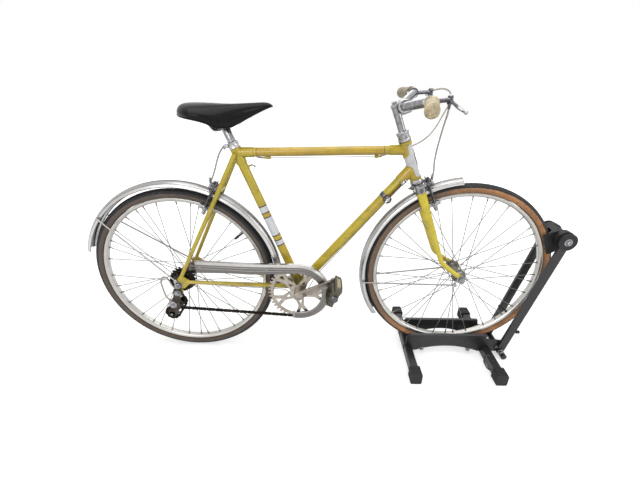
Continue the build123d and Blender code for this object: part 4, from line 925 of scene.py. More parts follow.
# bottom bracket cups with their lock ring's notches
cups = Solid()
for side in (-1, 1):
    face = BRACKET + LEFT * side * 34
    cups.lathe(face, LEFT * side, [(-1, 18.8), (0.4, 18.8), (0.8, 17.6), (4, 17.4), (4.4, 16), (4.4, 10)], 40)
    for i in range(6):
        cups.knob(on_wheel(BRACKET, 17.4, tau * i / 6, side * 36), LEFT * side, 1.9, 2.6)
cups.finish("bracket_cups", "frame", "oily")


PEDAL_TIP = radians(62)
PEDAL_IN, PEDAL_LEN, PEDAL_W, PEDAL_T, PEDAL_PLATE, LENS_LEN = 73.5, 76, 56, 24, 2.2, 44


def make_pedal(name, side):
    """A quill pedal: toothed side plates with reflectors, shaped end bars, barrel and chrome cap."""
    eye = Vector(PEDALS[name])
    eye.y = 0
    out = LEFT * side
    flat = Vector((cos(PEDAL_TIP), 0, sin(PEDAL_TIP)))
    over = Vector((-sin(PEDAL_TIP), 0, cos(PEDAL_TIP)))
    metal, cream = Solid(), Solid()
    start = eye + out * PEDAL_IN
    metal.lathe(start, out, [(0, 5), (0, 8.4), (1.5, 9), (10, 8), (30, 7.4), (60, 7.4), (70, 8.6), (76, 9),
                             (76, 5)], 28)

    def side_plate(inset):
        """Along the pedal and up: a long plate with low teeth on both its edges."""
        points = []
        teeth = 13
        for edge in (1, -1):
            for i in range(teeth * 2 + 1):
                share = i / (teeth * 2)
                place = share if edge > 0 else 1 - share
                height = PEDAL_T / 2 - 1.2 + (1.2 if i % 2 else 0) - 3 * abs(2 * place - 1) ** 3
                points.append((1 + place * (PEDAL_LEN - 2), edge * (height - inset)))
        return points

    def end_bar(inset, wide=PEDAL_W / 2 - 0.6):
        upper = [(wide - inset, 9 - inset), (wide * 0.45, 7.5 - inset), (0, 11.5 - inset),
            (-wide * 0.45, 7.5 - inset), (-wide + inset, 9 - inset)]
        return [(-a, -b) for a, b in upper] + upper

    for end in (-1, 1):
        plate_at = start + flat * (end * PEDAL_W / 2 - (PEDAL_PLATE if end > 0 else 0))
        metal.slab(side_plate, plate_at, out, over * side, PEDAL_PLATE, edge=0.5)
        lens_at = start + flat * end * (PEDAL_W / 2 - 0.8) + out * (16 + LENS_LEN / 2)
        cream.slab(oblong(LENS_LEN / 2, 5.2), lens_at, out * end * side, over, PEDAL_PLATE, edge=0.7)
        for along in (11, PEDAL_LEN - 11):
            metal.knob(start + out * along + flat * end * (PEDAL_W / 2 - 0.2), flat * end, 2.2, 1.4)
    for along in (0, PEDAL_LEN - PEDAL_PLATE):
        metal.slab(end_bar, start + out * along, flat, over * -side, PEDAL_PLATE, edge=0.5)
    metal.finish(f"{name}_pedal_cage", f"pedal_{name}", "cage", [f"pedal_{name}"])
    cream.finish(f"{name}_pedal_reflectors", f"pedal_{name}", "grip")
    cap = Solid().lathe(eye + out * (PEDAL_IN + PEDAL_LEN), out,
                        [(-0.5, 9.4), (1, 10.5), (3.4, 10.3), (4.8, 8.6), (5.4, 5), (5, 3.4)], 32)
    cap.finish(f"{name}_pedal_cap", f"pedal_{name}", "dark_chrome")


for name, side in SIDES.items():
    make_pedal(name, side)

# ---- chain guard's trim
COVER_R, COVER_FACE = 95.5, -53.2
beads = Solid()
for drop in (11.5, 19.5):
    arc_r = COVER_R - drop
    tail, bend = (52, 344 - drop), (205, 337.5 - drop)
    meet = atan2(bend[1] - BB_Z, bend[0] - BB_X) - acos(arc_r / hypot(bend[0] - BB_X, bend[1] - BB_Z))
    turns = [meet + (radians(-60) - meet) * i / 34 for i in range(35)]
    line = [(tail[0] + (bend[0] - tail[0]) * i / 8, tail[1] + (bend[1] - tail[1]) * i / 8) for i in range(8)]
    line += [bend] + [(BB_X + arc_r * cos(a), BB_Z + arc_r * sin(a)) for a in turns]
    beads.tube([at(x, COVER_FACE + 0.2, z) for x, z in line], 1, 8, up=LEFT)
lip = [radians(-100 + 200 * i / 60) for i in range(61)]
beads.tube([at(BB_X + 72.2 * cos(a), COVER_FACE + 0.4, BB_Z + 72.2 * sin(a)) for a in lip], 1.2, 8, up=LEFT)
for x, z in ((66, 326), (262, 319)):
    beads.knob(at(x, COVER_FACE, z), RIGHT, 3.4, 2)
beads.finish("chain_cover_beads", "frame", "cover")

# ---- rear gear
gear = Solid()
upper, lower = (at(x, CHAIN_Y, z) for x, z in (UPPER_JOCKEY, LOWER_JOCKEY))
for y in (-8.9, 7.4):
    for jockey in (upper, lower):
        gear.lathe(jockey + LEFT * y, LEFT, [(-0.8, 6.5), (-0.8, 9), (1.4, 9), (1.4, 6.5)], 24)
for jockey in (upper, lower):
    gear.bolt(jockey + RIGHT * 8.2, RIGHT, 8, 4.5)
    gear.bolt(jockey + LEFT * 6.8, LEFT, 7, 3)
gear_foot = at(-4, 0, 252)
gear.bolt(gear_foot + RIGHT * 74, RIGHT, 13, 6)
pivots = (gear_foot + Vector((-3, -70, -2)), gear_foot + Vector((9, -70, -8)),
          upper + Vector((-16, -22, 6)), upper + Vector((-3, -24, 8)))
for pivot in pivots:
    gear.bolt(pivot + RIGHT * 4, RIGHT, 6, 3)
gear.lathe(upper + Vector((-8, -29, 6)), RIGHT, [(-1, 12), (2, 12), (3.5, 10.5), (4, 7), (3, 5)], 30)
gear.bolt(upper + Vector((-8, -32, 6)), RIGHT, 9, 4)
gear.spring(upper + Vector((-8, -11, 6)), RIGHT, 12.2, 0.9, 14, 6)
gear.finish("gear_fittings", "frame", "chrome")
gear_arm = Solid()


def body_plate(inset):
    """The gear's arm seen from the drive side: wide at the hanger and at the cage's pivot."""
    return [(-12 + inset, 12 - inset), (6 - inset, 14 - inset), (13 - inset, 4), (4 - inset, -24),
        (-2, -44 + inset), (-14, -52 + inset), (-27 + inset, -46), (-30 + inset, -36), (-20 + inset, -26),
        (-15 + inset, -6)]


gear_arm.slab(body_plate, gear_foot + RIGHT * 69.5, FORWARD, UP, 3, edge=0.8)
loop = smooth([gear_foot + Vector(place) for place in ((-12, -52, -4), (-22, -54, 14), (-30, -56, 38),
    (-42, -56, 44), (-52, -56, 30), (-50, -58, 6), (-44, -62, -18), (-32, -66, -32))], 6)
cable = Solid().tube(loop, 2.2, 10)
cable.lathe(loop[-1], (loop[-1] - loop[-2]).normalized(), [(-3, 3), (2, 3), (5, 2.2), (10, 2)], 16)
gear_arm.finish("gear_arm_plate", "frame", "oily")
cable.finish("gear_cable_loop", "frame", "sleeve")

# ---- rim brakes
SEAT_TUBE_LEN = 447
STAY_FOOT = REAR + Vector((9, 0, 22))
STAY_HEAD = BRACKET + SEAT_UP * (SEAT_TUBE_LEN - 12) + Vector((-2, 0, 0))
STAY_UP = (STAY_HEAD - STAY_FOOT).normalized()
STAY_BACK = Vector((-STAY_UP.z, 0, STAY_UP.x))
PAD_GAP, PAD_T = 5, 9


def make_brake(prefix, body, axle, base, down, ahead, reach):
    """A side-pull calliper: curved flat arms on a bridge, with bolts, springs, shoes and an adjuster."""
    metal, rubber_blocks, bright = Solid(), Solid(), Solid()
    metal.lathe(base, ahead, [(-2, 4.5), (8, 4.5), (8, 7.5), (11, 7.5), (11, 3.2), (28, 3)], 24)
    bright.bolt(base + ahead * 23, ahead, 9, 4)
    for side in (-1, 1):
        out = LEFT * side
        layer = base + ahead * (14.5 + side * 3)

        def spot(sideways, lower):
            return layer + out * sideways + down * lower

        foot_y = RIM_HALF + PAD_GAP + PAD_T + 3
        pivot = spot(19, 0)
        arm = smooth([spot(-10, -13), spot(-2, -12), spot(9, -8), spot(19, 0), spot(28, 12), spot(31, 24),
                      spot(30, 40), spot(foot_y, reach - 2)], 6)
        metal.tube(arm, [2.8, 3.4, 4.4, 5.6, 5.4, 5, 4.6, 4.2], 14, flat=0.6, up=ahead)
        metal.lathe(base + out * 19 + ahead * 3, ahead, [(0, 6.5), (5, 6.5), (5, 4.5), (17, 4.5)], 24)
        bright.bolt(base + out * 19 + ahead * 20, ahead, 8.5, 4)
        metal.spring(pivot - ahead * 5, ahead, 6.6, 0.8, 4.5, 3)
        metal.tube(smooth([pivot + out * 5 - ahead * 4, spot(27, 8) - ahead * 4,
                           spot(33, 26) - ahead * 3], 5), 0.8, 7, up=ahead)
        foot = layer + out * (RIM_HALF + PAD_GAP) + down * reach
        radial = foot - axle
        radial.y = 0
        radial.normalize()
        along = out.cross(radial)

        def block(inset, half=17, tall=4.6):
            return [(tall - inset, -half + inset), (tall - inset, half - inset),
                (-tall + inset, half - inset - 1.5), (-tall + inset, -half + inset + 1.5)]
        rubber_blocks.slab(block, foot, radial, along, PAD_T - 3.5, edge=0.6)
        for place in range(-12, 13, 6):
            rubber_blocks.slab(oblong(4.6, 2), foot + along * place - out * 0.6, radial, along, 2, edge=0.3)
        bright.slab(lambda inset: block(inset, 18, 5.4), foot + out * (PAD_T - 4.5), radial, along, 4.5,
                    edge=1)
        bright.bolt(foot + out * (PAD_T + 5.5), out, 9.5, 4.5, stub=4)
        low = foot + out * (PAD_T + 1.5)
        bright.tube(smooth([low + radial * 2, low - radial * 6, low - radial * 15], 5),
                    [5.6, 6, 5], 14, flat=0.55, up=out)
        bright.bolt(low - radial * 13 + out * 2.4, out, 7.5, 3.4, stub=2)
        bright.lathe(foot + out * PAD_T, out, [(-1, 5), (2, 5), (3, 3.2), (6, 3.2)], 20)
    end = base + ahead * 25
    bright.lathe(end, UP, [(-4, 2.6), (-4, 4), (2, 4), (2.5, 3), (4, 3)], 18)
    for i in range(7):
        bright.lathe(end + UP * (4.2 + i * 1.2), UP, [(0, 2.9), (0.3, 3.5), (0.9, 3.5), (1.2, 2.9)], 18)
    bright.lathe(end + UP * 12.6, UP, [(0, 3.4), (6, 3.1), (6.4, 2.4)], 18)
    bright.tube(smooth([end + LEFT * 4, end + LEFT * 8 - UP * 14, end + LEFT * 7 - UP * 32], 6),
                0.8, 7, up=FORWARD)
    metal.finish(f"{prefix}_brake_arms", body, "dark_chrome", [f"{prefix}_brake"])
    rubber_blocks.finish(f"{prefix}_brake_blocks", body, "black_rubber")
    bright.finish(f"{prefix}_brake_fittings", body, "chrome")


make_brake("front", "fork", FRONT, on_steer(-14, 14.2), -STEER_UP, STEER_OUT, 58)
make_brake("rear", "frame", REAR, STAY_FOOT + STAY_UP * 284 + STAY_BACK * 5.4, -STAY_UP, STAY_BACK, 62)

# ---- handlebar, stem and levers
STEM_X, STEM_Z = 622, 763.5


def turned(x, y, z):
    """A point of the handlebar, whose left end stands a little forward and higher than its right."""
    return at(x + 0.048 * y, y, z + 0.058 * y)


CLAMP = at(STEM_X, 0, STEM_Z)
ACROSS_BAR = (turned(STEM_X, 15, STEM_Z) - CLAMP).normalized()
HEAD_LEN = (at(633.6, 0, 678.2) - at(674.8, 0, 574.6)).length
BAR_R, GRIP_START = 11, 0.26
BAR_CORNERS = ((STEM_X, 24, STEM_Z), (663.3, 105, 784.1), (643.6, 201, 776.2))
LEVER_BEND = 40


def bar_corners(side):
    return [turned(x, side * y, z) for x, y, z in BAR_CORNERS]


fittings = Solid()
stem_top = on_steer(HEAD_LEN + 90)
fittings.lathe(stem_top, STEER_UP, [(0, 11.3), (4.4, 11.3), (5.4, 10), (5.6, 7.6)], 36)
fittings.bolt(stem_top + STEER_UP * 5.4, STEER_UP, 12.5, 6)
for side in (-1, 1):
    fittings.lathe(CLAMP + ACROSS_BAR * side * 14.2, ACROSS_BAR * side,
                   [(-1, 15.9), (0.6, 15.9), (1.2, 15.2), (1.2, 12), (0.4, 11.4)], 40)
pinch = CLAMP - STEER_UP * 15.5 + STEER_OUT * 5
fittings.lathe(pinch - STEER_OUT * 9, STEER_OUT, [(0, 5.4), (14, 5.4)], 20)
fittings.bolt(pinch + STEER_OUT * 4.6, STEER_OUT, 8.5, 4)
fittings.bolt(pinch - STEER_OUT * 8.6, -STEER_OUT, 8.5, 4, stub=3)
fittings.finish("stem_fittings", "fork", "bright_chrome")

# headset: pressed cups with bead lines on the frame, and a milled lock nut and lamp washer on the fork
races = Solid()
races.lathe(on_steer(6), -STEER_UP, [(-0.4, 13), (-0.4, 15.2), (1, 15.8), (3.2, 15.8), (3.8, 16.8), (6, 17.3),
                                    (6.8, 16.6), (6.8, 12)], 44, closed=True)
races.lathe(on_steer(HEAD_LEN), STEER_UP, [(-0.4, 13), (-0.4, 15), (1, 15.4), (2.2, 16.6), (6, 17),
    (7.2, 16.2), (8.4, 16.8), (10.2, 16.4), (10.2, 12)], 44, closed=True)
races.finish("headset_races", "frame", "bright_chrome", ["headset_cups"])
nuts = Solid()
nuts.lathe(on_steer(HEAD_LEN + 11.2), STEER_UP, [(0, 14.4), (0.8, 15.6), (2.6, 15.6), (3.2, 14.6),
    (4.2, 14.6), (4.6, 15.8), (6.2, 15.8), (6.8, 14.8)], 44)
nuts.lathe(on_steer(HEAD_LEN + 26), STEER_UP, [(-0.5, 14.6), (0.6, 13.8), (1.6, 11.4)], 40)
nuts.lathe(on_steer(-5.2), STEER_UP, [(0, 14), (0.3, 16.2), (2.2, 16.6), (3.4, 15.4), (3.6, 12)], 44)
nuts.finish("headset_nuts", "fork", "bright_chrome")


def make_grip(name, side):
    """A moulded sleeve: flange, shallow finger ribs, a swelling palm and a rounded end."""
    corner, end = bar_corners(side)[-2:]
    run = end - corner
    start = corner + run * GRIP_START
    lead = run.normalized()
    length = (end - start).length
    steps = [(-0.3, BAR_R), (-0.3, 14.8), (0.6, 16), (3.2, 16), (4.2, 14.6)]
    ribs = 11
    for i in range(ribs):
        place = 6 + (length - 26) * i / ribs
        step = (length - 26) / ribs
        steps += [(place, 13.7), (place + step * 0.3, 14.4), (place + step * 0.7, 14.4),
            (place + step * 0.98, 13.7)]
    steps += [(length - 18, 14.6), (length - 8, 15.4), (length - 1, 15), (length + 2.5, 13),
        (length + 4.4, 9.5), (length + 5, 5), (length + 4.4, 2)]
    Solid().lathe(start, lead, steps, 40).finish(f"{name}_ribbed_grip", "fork", "grip" if side < 0
        else "left_grip", [f"grip_{name}"], sharp=60)


def make_lever(name, side):
    """A brake lever: split clamp with its screw, hooded bracket, and a tapered blade with a ball end."""
    before, corner, end = bar_corners(side)
    lead_in, lead_out = (corner - before).normalized(), (end - corner).normalized()
    half_turn = lead_in.angle(lead_out) / 2
    seat = corner + (lead_out - lead_in).normalized() * LEVER_BEND * (1 / cos(half_turn) - 1)
    lead = (lead_in + lead_out).normalized()
    pivot = turned(704.7, side * 96, 786.5)
    ahead = (pivot - seat).normalized()
    lever, pins = Solid(), Solid()
    lever.lathe(seat - lead * 5, lead, [(0, 11.4), (0, 12.8), (0.8, 13.4), (9.2, 13.4), (10, 12.8),
        (10, 11.4)], 32, closed=True)
    lever.tube(smooth([seat + ahead * 10, seat + ahead * 16, pivot - ahead * 8,
                       pivot + ahead * 3], 5), [6.4, 5, 5, 6, 6.4], 16, flat=[1, 1, 0.9, 1.1])
    pins.bolt(seat - ahead * 12.5, -ahead, 8, 3.2)
    pins.knob(pivot + UP * 8.4, UP, 4, 2.2)
    pins.bolt(pivot - UP * 9, -UP, 7, 3)
    lever.lathe(pivot - UP * 9.4, UP, [(0, 5.2), (0.8, 6.2), (17, 6.2), (18, 5.2)], 24)
    blade = smooth([pivot, turned(709, side * 115, 780.4), turned(714, side * 134, 775),
                    turned(713.6, side * 160, 773), turned(713.7, side * 184, 772.5)], 7)
    lever.tube(blade, [5, 4.4, 5.6, 5.8, 4.2, 2.8], 14, flat=[0.8, 0.6, 0.5, 0.5, 0.6, 1])
    tip = blade[-1]
    tip_lead = (blade[-1] - blade[-2]).normalized()
    pins.lathe(tip, tip_lead, [(-2.5, 2.6), (-1.5, 3.6), (0.5, 4.2), (2.2, 3.8), (3.4, 2.4), (3.8, 0.8)], 22)
    lever.finish(f"{name}_brake_lever_form", "fork", "dark_chrome", [f"brake_lever_{name}"])
    pins.finish(f"{name}_lever_pins", "fork", "bright_chrome")


for name, side in SIDES.items():
    make_grip(name, side)
    make_lever(name, side)

# ---- cables
CROSS_ROUTE = ((706, 87, 794.8), (722, 86, 799), (741, 82, 800.5), (753.5, 77, 794.5), (758.5, 71, 781),
               (753.5, 64, 765), (738.5, 54, 740), (723.2, 43, 714), (707.8, 34.5, 693.6),
               (688, 26.5, 677.5), (661.8, 21, 664.3), (628, 20.5, 653.5), (600, 16, 645), (583, 8, 641),
               (570.6, 0.6, 639.8))
# metal caps where the sleeves leave the levers
ferrules = Solid()
for start, onward in ((at(699.6, -97.5, 770), at(700, -94, 752)), (at(*CROSS_ROUTE[0]), at(*CROSS_ROUTE[1]))):
    lead = (onward - start).normalized()
    ferrules.lathe(start - lead, lead, [(0, 2.3), (0.4, 3.3), (7, 3.3), (8, 2.7), (9, 2.3)], 18)
ferrules.finish("lever_ferrules", "fork", "dark_chrome")


def even_line(route):
    """The points of an even NURBS curve that a route steers."""
    curve = bpy.data.curves.new("line", "CURVE")
    curve.dimensions = "3D"
    spline = curve.splines.new("NURBS")
    spline.points.add(len(route) - 1)
    for point, place in zip(spline.points, route):
        point.co = (*at(*place), 1)
    spline.use_endpoint_u = True
    spline.order_u = 3
    spline.resolution_u = 8
    line_object = bpy.data.objects.new("line", curve)
    mesh = bpy.data.meshes.new_from_object(line_object)
    line = [vertex.co.copy() for vertex in mesh.vertices]
    bpy.data.objects.remove(line_object)
    bpy.data.meshes.remove(mesh)
    return line


# The left brake's sleeve runs from the fork to the frame; it is taken off every body and left where it lies.
cross_line = even_line(CROSS_ROUTE)
sleeve = Solid().tube(cross_line, 2.2, 12, up=LEFT)
sleeve_piece = sleeve.finish("steering_brake_sleeve", "fork", "sleeve", ["rear_brake_cable_front"])
sleeve_piece.parent = None
del sleeve_piece["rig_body"]
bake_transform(sleeve_piece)

# ---- small fittings on the frame
stops = Solid()
wire_front, wire_back = at(564.5, 0, 639.6), at(279, 2, 634.6)
lead = (wire_back - wire_front).normalized()
for stop, way in ((wire_front, -1), (wire_back, 1)):
    stops.lathe(stop - lead * 6 * way, lead * way, [(0, 2.4), (0, 4), (1, 4.3), (8, 4.3), (9, 3.4),
        (12, 2.6)], 20)
    stops.lathe(stop + lead * way * 6, lead * way, [(0, 2.7), (5, 2.7), (6, 2.3)], 18)
    stops.tube([stop + UP * 1, stop + UP * 3, stop + UP * 5.5], [2.6, 2.4, 4.2], 14, up=FORWARD)
stops.finish("top_tube_stops", "frame", "yellow")

chrome = Solid()
seat_top = BRACKET + SEAT_UP * SEAT_TUBE_LEN
clamp = seat_top + Vector((-15, 0, 0)) + SEAT_UP * 9
chrome.bolt(clamp + RIGHT * 8.6, RIGHT, 9, 4)
chrome.bolt(clamp + LEFT * 8.6, LEFT, 9, 4, stub=3)
chrome.lathe(seat_top, SEAT_UP, [(0.2, 12.2), (0.2, 14.4), (1, 15.2), (3.6, 15.2), (4.4, 14.7), (13.6, 14.7),
                                 (14.4, 15.2), (17, 15), (18.2, 13.8), (18.6, 11.2)], 40)
chrome.tube(smooth([clamp + RIGHT * 4, at(170, -5, 664), at(165, -4, 658)], 5), [3.6, 4.2, 3.6], 12, flat=0.7)
hanger_lead = (at(187, 23, 667) - at(220, 25.5, 646)).normalized()
chrome.tube(smooth([clamp + LEFT * 12, at(180, 19, 663), at(197, 23.7, 661)], 5), [2.4, 2.4, 2], 12, flat=0.6)
chrome.lathe(at(197, 23.7, 661), hanger_lead, [(-4, 2.3), (-4, 4.2), (0, 4.4), (5, 4.2), (8, 3), (12, 2.4)],
    20)
chrome.finish("seat_clamp_bolts", "frame", "bright_chrome")

# pump pegs on the seat tube, and the plain oval plate on the head tube
pegs = Solid()
SEAT_FRONT = Vector((SEAT_UP.z, 0, -SEAT_UP.x))
PEG_HEIGHTS = (392, 62)
for height in PEG_HEIGHTS:
    foot = BRACKET + SEAT_UP * height + SEAT_FRONT * 12.4
    pegs.lathe(foot, SEAT_FRONT, [(-1, 4.6), (1.6, 3.8), (3.2, 2.2), (5.5, 2), (6.4, 1.2)], 18)
pegs.finish("pump_pegs", "frame", "yellow")
hook = Solid()
foot = BRACKET + SEAT_UP * PEG_HEIGHTS[0] + SEAT_FRONT * 14
hook.tube(smooth([foot, foot + Vector((6, 0, 3)), foot + Vector((12, 0, 2.4)),
                  foot + Vector((17, 0, -2.4))], 6), [2.2, 1.9, 1.7, 2], 12, up=LEFT)
hook.finish("pump_hook", "frame", "dark_chrome")
badge = Solid()
HEAD_TUBE_R = 14.5
middle = on_steer(HEAD_LEN * 0.56)


def plate_point(wide, tall, off, turn):
    """A point of an oval that is bent round the head tube."""
    across, up = wide * cos(turn) / HEAD_TUBE_R, tall * sin(turn)
    return middle + STEER_OUT * off * cos(across) + LEFT * off * sin(across) + STEER_UP * up


for wide, tall, off, thick in ((9.5, 23, 14.3, 0.8), (7.6, 20.4, 14.9, 0.7)):
    badge.loft([[plate_point(wide * size, tall * size, off + depth, tau * i / 36) for i in range(36)]
                for depth, size in ((0, 1), (thick, 0.95))])
badge.finish("head_plate", "frame", "badge")
rivets = Solid()
for up in (-21, 21):
    rivets.knob(middle + STEER_OUT * 15.6 + STEER_UP * up, STEER_OUT, 1.5, 0.8)
rivets.finish("head_plate_rivets", "frame", "bright_chrome")

# crown: round dimples in its sides, and the mudguard's bracket bolt behind it
crown, dimples = Solid(), Solid()
for side in (-1, 1):
    crown.lathe(on_steer(-15.5, 0, side * 41.4), LEFT * side, [(-1.5, 9.5), (0.6, 9.2), (1.1, 8), (0.9, 6)],
        32)
    dimples.lathe(on_steer(-15.5, 0, side * 42.1), LEFT * side, [(-1, 6), (0.2, 6), (0.4, 5.2)], 32)
crown.bolt(on_steer(-14, -14), -STEER_OUT, 10, 5, stub=6)
crown.finish("crown_trim", "fork", "chrome")
dimples.finish("crown_dimples", "fork", "dark_chrome")

# shift lever: band round the down tube, wing bolt, and knob
DOWN_UP = (on_steer(39) - BRACKET).normalized()
DOWN_SIDE = Vector((DOWN_UP.z, 0, -DOWN_UP.x))
shift = Solid()
shift_at = BRACKET + DOWN_UP * 379
wing_at = shift_at + DOWN_SIDE * 5 + RIGHT * 22.2
shift.lathe(shift_at - DOWN_UP * 6, DOWN_UP, [(0, 14.1), (0, 15.2), (1, 15.6), (11, 15.6), (12, 15.2),
    (12, 14.1)], 40, closed=True)
shift.lathe(wing_at, RIGHT, [(-4, 9), (0, 9), (1.5, 7.5), (1.5, 4)], 30)
shift.finish("shift_band", "frame", "dark_chrome")
wing = Solid()
wing.lathe(wing_at, RIGHT, [(1, 5), (4, 4.2), (4.6, 3)], 20)
wing.tube([wing_at + RIGHT * 4 - DOWN_UP * 9, wing_at + RIGHT * 3, wing_at + RIGHT * 4 + DOWN_UP * 9],
          [2.6, 2, 2.6], 12, flat=0.7, up=RIGHT)
knob_at = shift_at + DOWN_SIDE * 5 + RIGHT * 19 + DOWN_UP * 53
wing.lathe(knob_at, DOWN_UP, [(0, 3.6), (2, 4.8), (10, 5.2), (15, 4.6), (17, 3), (17.4, 1.2)], 24)
wing.finish("shift_wing_and_knob", "frame", "bright_chrome")

# ---- saddle
# Along the saddle from its tail: x, height of the crown, height of the skirt's edge, and half width.
SADDLE = ((62.3, 751.5, 748.5, 8), (64, 757.5, 746, 20), (68, 763, 744, 31), (74, 767, 742, 41),
    (82, 769.2, 740.5, 50.5), (92, 770, 739.2, 59.5), (104, 770.2, 737.6, 66), (118, 770, 735, 67.6),
    (132, 769.6, 731.4, 66), (144, 769.1, 727, 62.4), (152, 768.7, 722.4, 59), (160, 768.3, 717.8, 55),
    (167, 768, 715.6, 51), (176, 767.7, 715.2, 45.6), (187, 767.5, 715.2, 39.2), (196, 767.5, 715.9, 34.6),
    (206, 767.7, 720, 30.6), (218, 768.2, 726.6, 26.8), (232, 768.8, 733.6, 23), (250, 769.6, 742.6, 19.4),
    (266, 770.4, 750, 17), (280, 770.6, 756, 14.4), (289, 769, 759.6, 11.4), (294, 766.6, 761.2, 8),
    (297, 764.4, 762, 3.6))


def saddle_ring(x, top, low, half, skin, count=26):
    """Half-outline from crown to skirt, mirrored, then back along the inside of the shell."""
    outer, inner = [], []
    for i in range(count + 1):
        a = pi / 2 * i / count
        full = sin(a) ** 0.86
        drop = 1 - max(0, cos(a)) ** 0.92
        pull = 1 - 0.10 * max(0, (a / (pi / 2) - 0.72) / 0.28) ** 2
        y, z = half * full * pull, top - (top - low) * drop
        outer.append((y, z))
        inner.append((max(0, y - skin * sin(a)), z - skin * (1.15 - sin(a))))
    hem = [(outer[-1][0] - 0.6, outer[-1][1] - 1.5), (outer[-1][0] - skin * 0.55, outer[-1][1] - 2),
           (inner[-1][0] - 0.4, outer[-1][1] - 1.2)]
    near = outer + hem + inner[::-1]
    return [at(x, -y, z) for y, z in near] + [at(x, y, z) for y, z in near[-2:0:-1]]


stations = smooth([Vector(station[:3]) for station in SADDLE], 5)
halves = smooth([Vector((station[3], 0, 0)) for station in SADDLE], 5)
saddle = Solid()
saddle.loft([saddle_ring(place.x, place.y, place.z, half.x, min(4.5, half.x * 0.3))
             for place, half in zip(stations, halves)])
cover = saddle.finish("saddle_shell", "frame", "saddle", ["saddle"], sharp=80)

# a raised welt along the hem, and a moulding line on each flank
FLANK_LINE = 62
welt = Solid()
for side in (-1, 1):
    hem = [at(place.x, side * (half.x * 0.9 - 0.2), place.z - 0.6) for place, half in zip(stations, halves)]
    welt.tube(hem, 1.7, 8)
    flank = []
    for i in range(9):
        share = i / 8
        place, half = stations[FLANK_LINE], halves[FLANK_LINE]
        a = pi / 2 * (0.56 + 0.3 * share)
        flank.append(at(place.x - 2 + 5 * share, side * (half.x * sin(a) ** 0.86 + 0.2),
                        place.y - (place.y - place.z) * (1 - cos(a) ** 0.92)))
    welt.tube(flank, 0.9, 7, up=FORWARD)
welt.finish("saddle_welt", "frame", "saddle")

frame_wires = Solid()
post_top = seat_top + SEAT_UP * 66
for side in (-1, 1):
    loop = smooth([post_top + Vector(place) for place in ((9, side * 27, 6), (2, side * 30, -6),
        (-6, side * 32, -12), (-15, side * 34, -11.5), (-22, side * 36, -3), (-30, side * 39, 12),
        (-48, side * 42, 24), (-64, side * 43, 34))], 6)
    frame_wires.tube(loop, 2.8, 12)
    frame_wires.bolt(post_top + Vector((0, side * 26, -2)), LEFT * side, 10, 5)
    frame_wires.lathe(post_top + Vector((0, side * 17, -2)), LEFT * side,
                      [(0, 8), (1, 8.6), (5, 8.6), (6, 8), (9, 8)], 26)
bridge = post_top + Vector((-71, 0, 32))
frame_wires.tube([bridge - LEFT * 44, bridge, bridge + LEFT * 44], 3.4, 12, flat=0.6)
frame_wires.lathe(post_top - SEAT_UP * 9, SEAT_UP, [(0, 11.1), (1, 11.8), (7, 11.8), (8, 11.1)], 36)
frame_wires.finish("saddle_frame_wires", "frame", "dark_chrome")

post = Solid()
post.lathe(seat_top - SEAT_UP * 58, SEAT_UP, [(0, 11), (122, 11), (124, 10), (124, 4)], 40)
post.lathe(post_top + Vector((0, -24, -2)), LEFT, [(0, 4), (0, 6.5), (1, 7.5), (47, 7.5), (48, 6.5), (48, 4)],
    28)
for side in (-1, 1):
    rail = smooth([post_top + Vector((x, side * y, z)) for x, y, z in ((-75, 24, 45), (-68, 24, 27),
        (-52, 23, 16), (-34, 22, 9), (-22, 22, -7), (-12, 21.5, -12), (0, 21, -10.5), (26, 20, 8),
        (60, 14, 22), (90, 8, 34), (98, 6.5, 40), (101, 6, 46))], 6)
    post.tube(rail, 3.5, 14)
post.finish("seatpost_and_rails", "frame", "chrome", ["seatpost"])

# ---- floor stand
BAR_BACK, BAR_FRONT, STAND_HALF = 706, 958, 165
ARM_FOOT, ARM_HEAD = at(1004, 0, 24), at(1096, 0, 419)
ARM_OUTER = 47
DISC_R = 26
WELD_BEADS = 11
stand_bolts, stand_trim, pads = Solid(), Solid(), Solid()
for side in (-1, 1):
    out = LEFT * side
    face = ARM_HEAD + out * (ARM_OUTER + 4)
    stand_bolts.lathe(face, out, [(-0.4, 11), (0.8, 11), (1.2, 10)], 30)
    stand_bolts.bolt(face + out * 0.8, out, 13, 6)
    stand_bolts.bolt(ARM_FOOT + out * (ARM_OUTER + 3.4), out, 12, 6)
    for i in range(4):
        ring = DISC_R - 3.5 - i * 3.2
        steps = [(0, ring), (0.8, ring - 0.4), (0.8, ring - 1.3), (0, ring - 1.7)]
        stand_trim.lathe(ARM_HEAD + out * 38.6, out, steps, 40)
        stand_trim.lathe(face - out * 0.4, out, steps, 40, closed=True)
    # weld beads where the rails meet the cross bars
    for x in (BAR_BACK, BAR_FRONT):
        for edge in (-12.5, 12.5):
            weld = [at(x + edge, side * 34.2 + 0.6 * (-1) ** i, 16 + i * 1.9) for i in range(WELD_BEADS)]
            stand_trim.tube(weld, [1.9 + 0.5 * (i % 2) for i in range(WELD_BEADS)], 8, up=FORWARD)
        for row in range(4):
            pads.slab(oblong(14.5, 1.1), at(x, side * (STAND_HALF - 28 + row * 7), 37.6), FORWARD, LEFT, 1.1,
                      edge=0.4)
        for wall in (x - 16.4, x + 16.4):
            for row in range(6):
                rib = at(wall, side * (STAND_HALF - 30 + row * 5.2), 20)
                pads.tube([rib - UP * 15, rib, rib + UP * 12], 1.2, 8, up=FORWARD)
pads.finish("stand_cap_ribs", "fork", "stand_rubber")

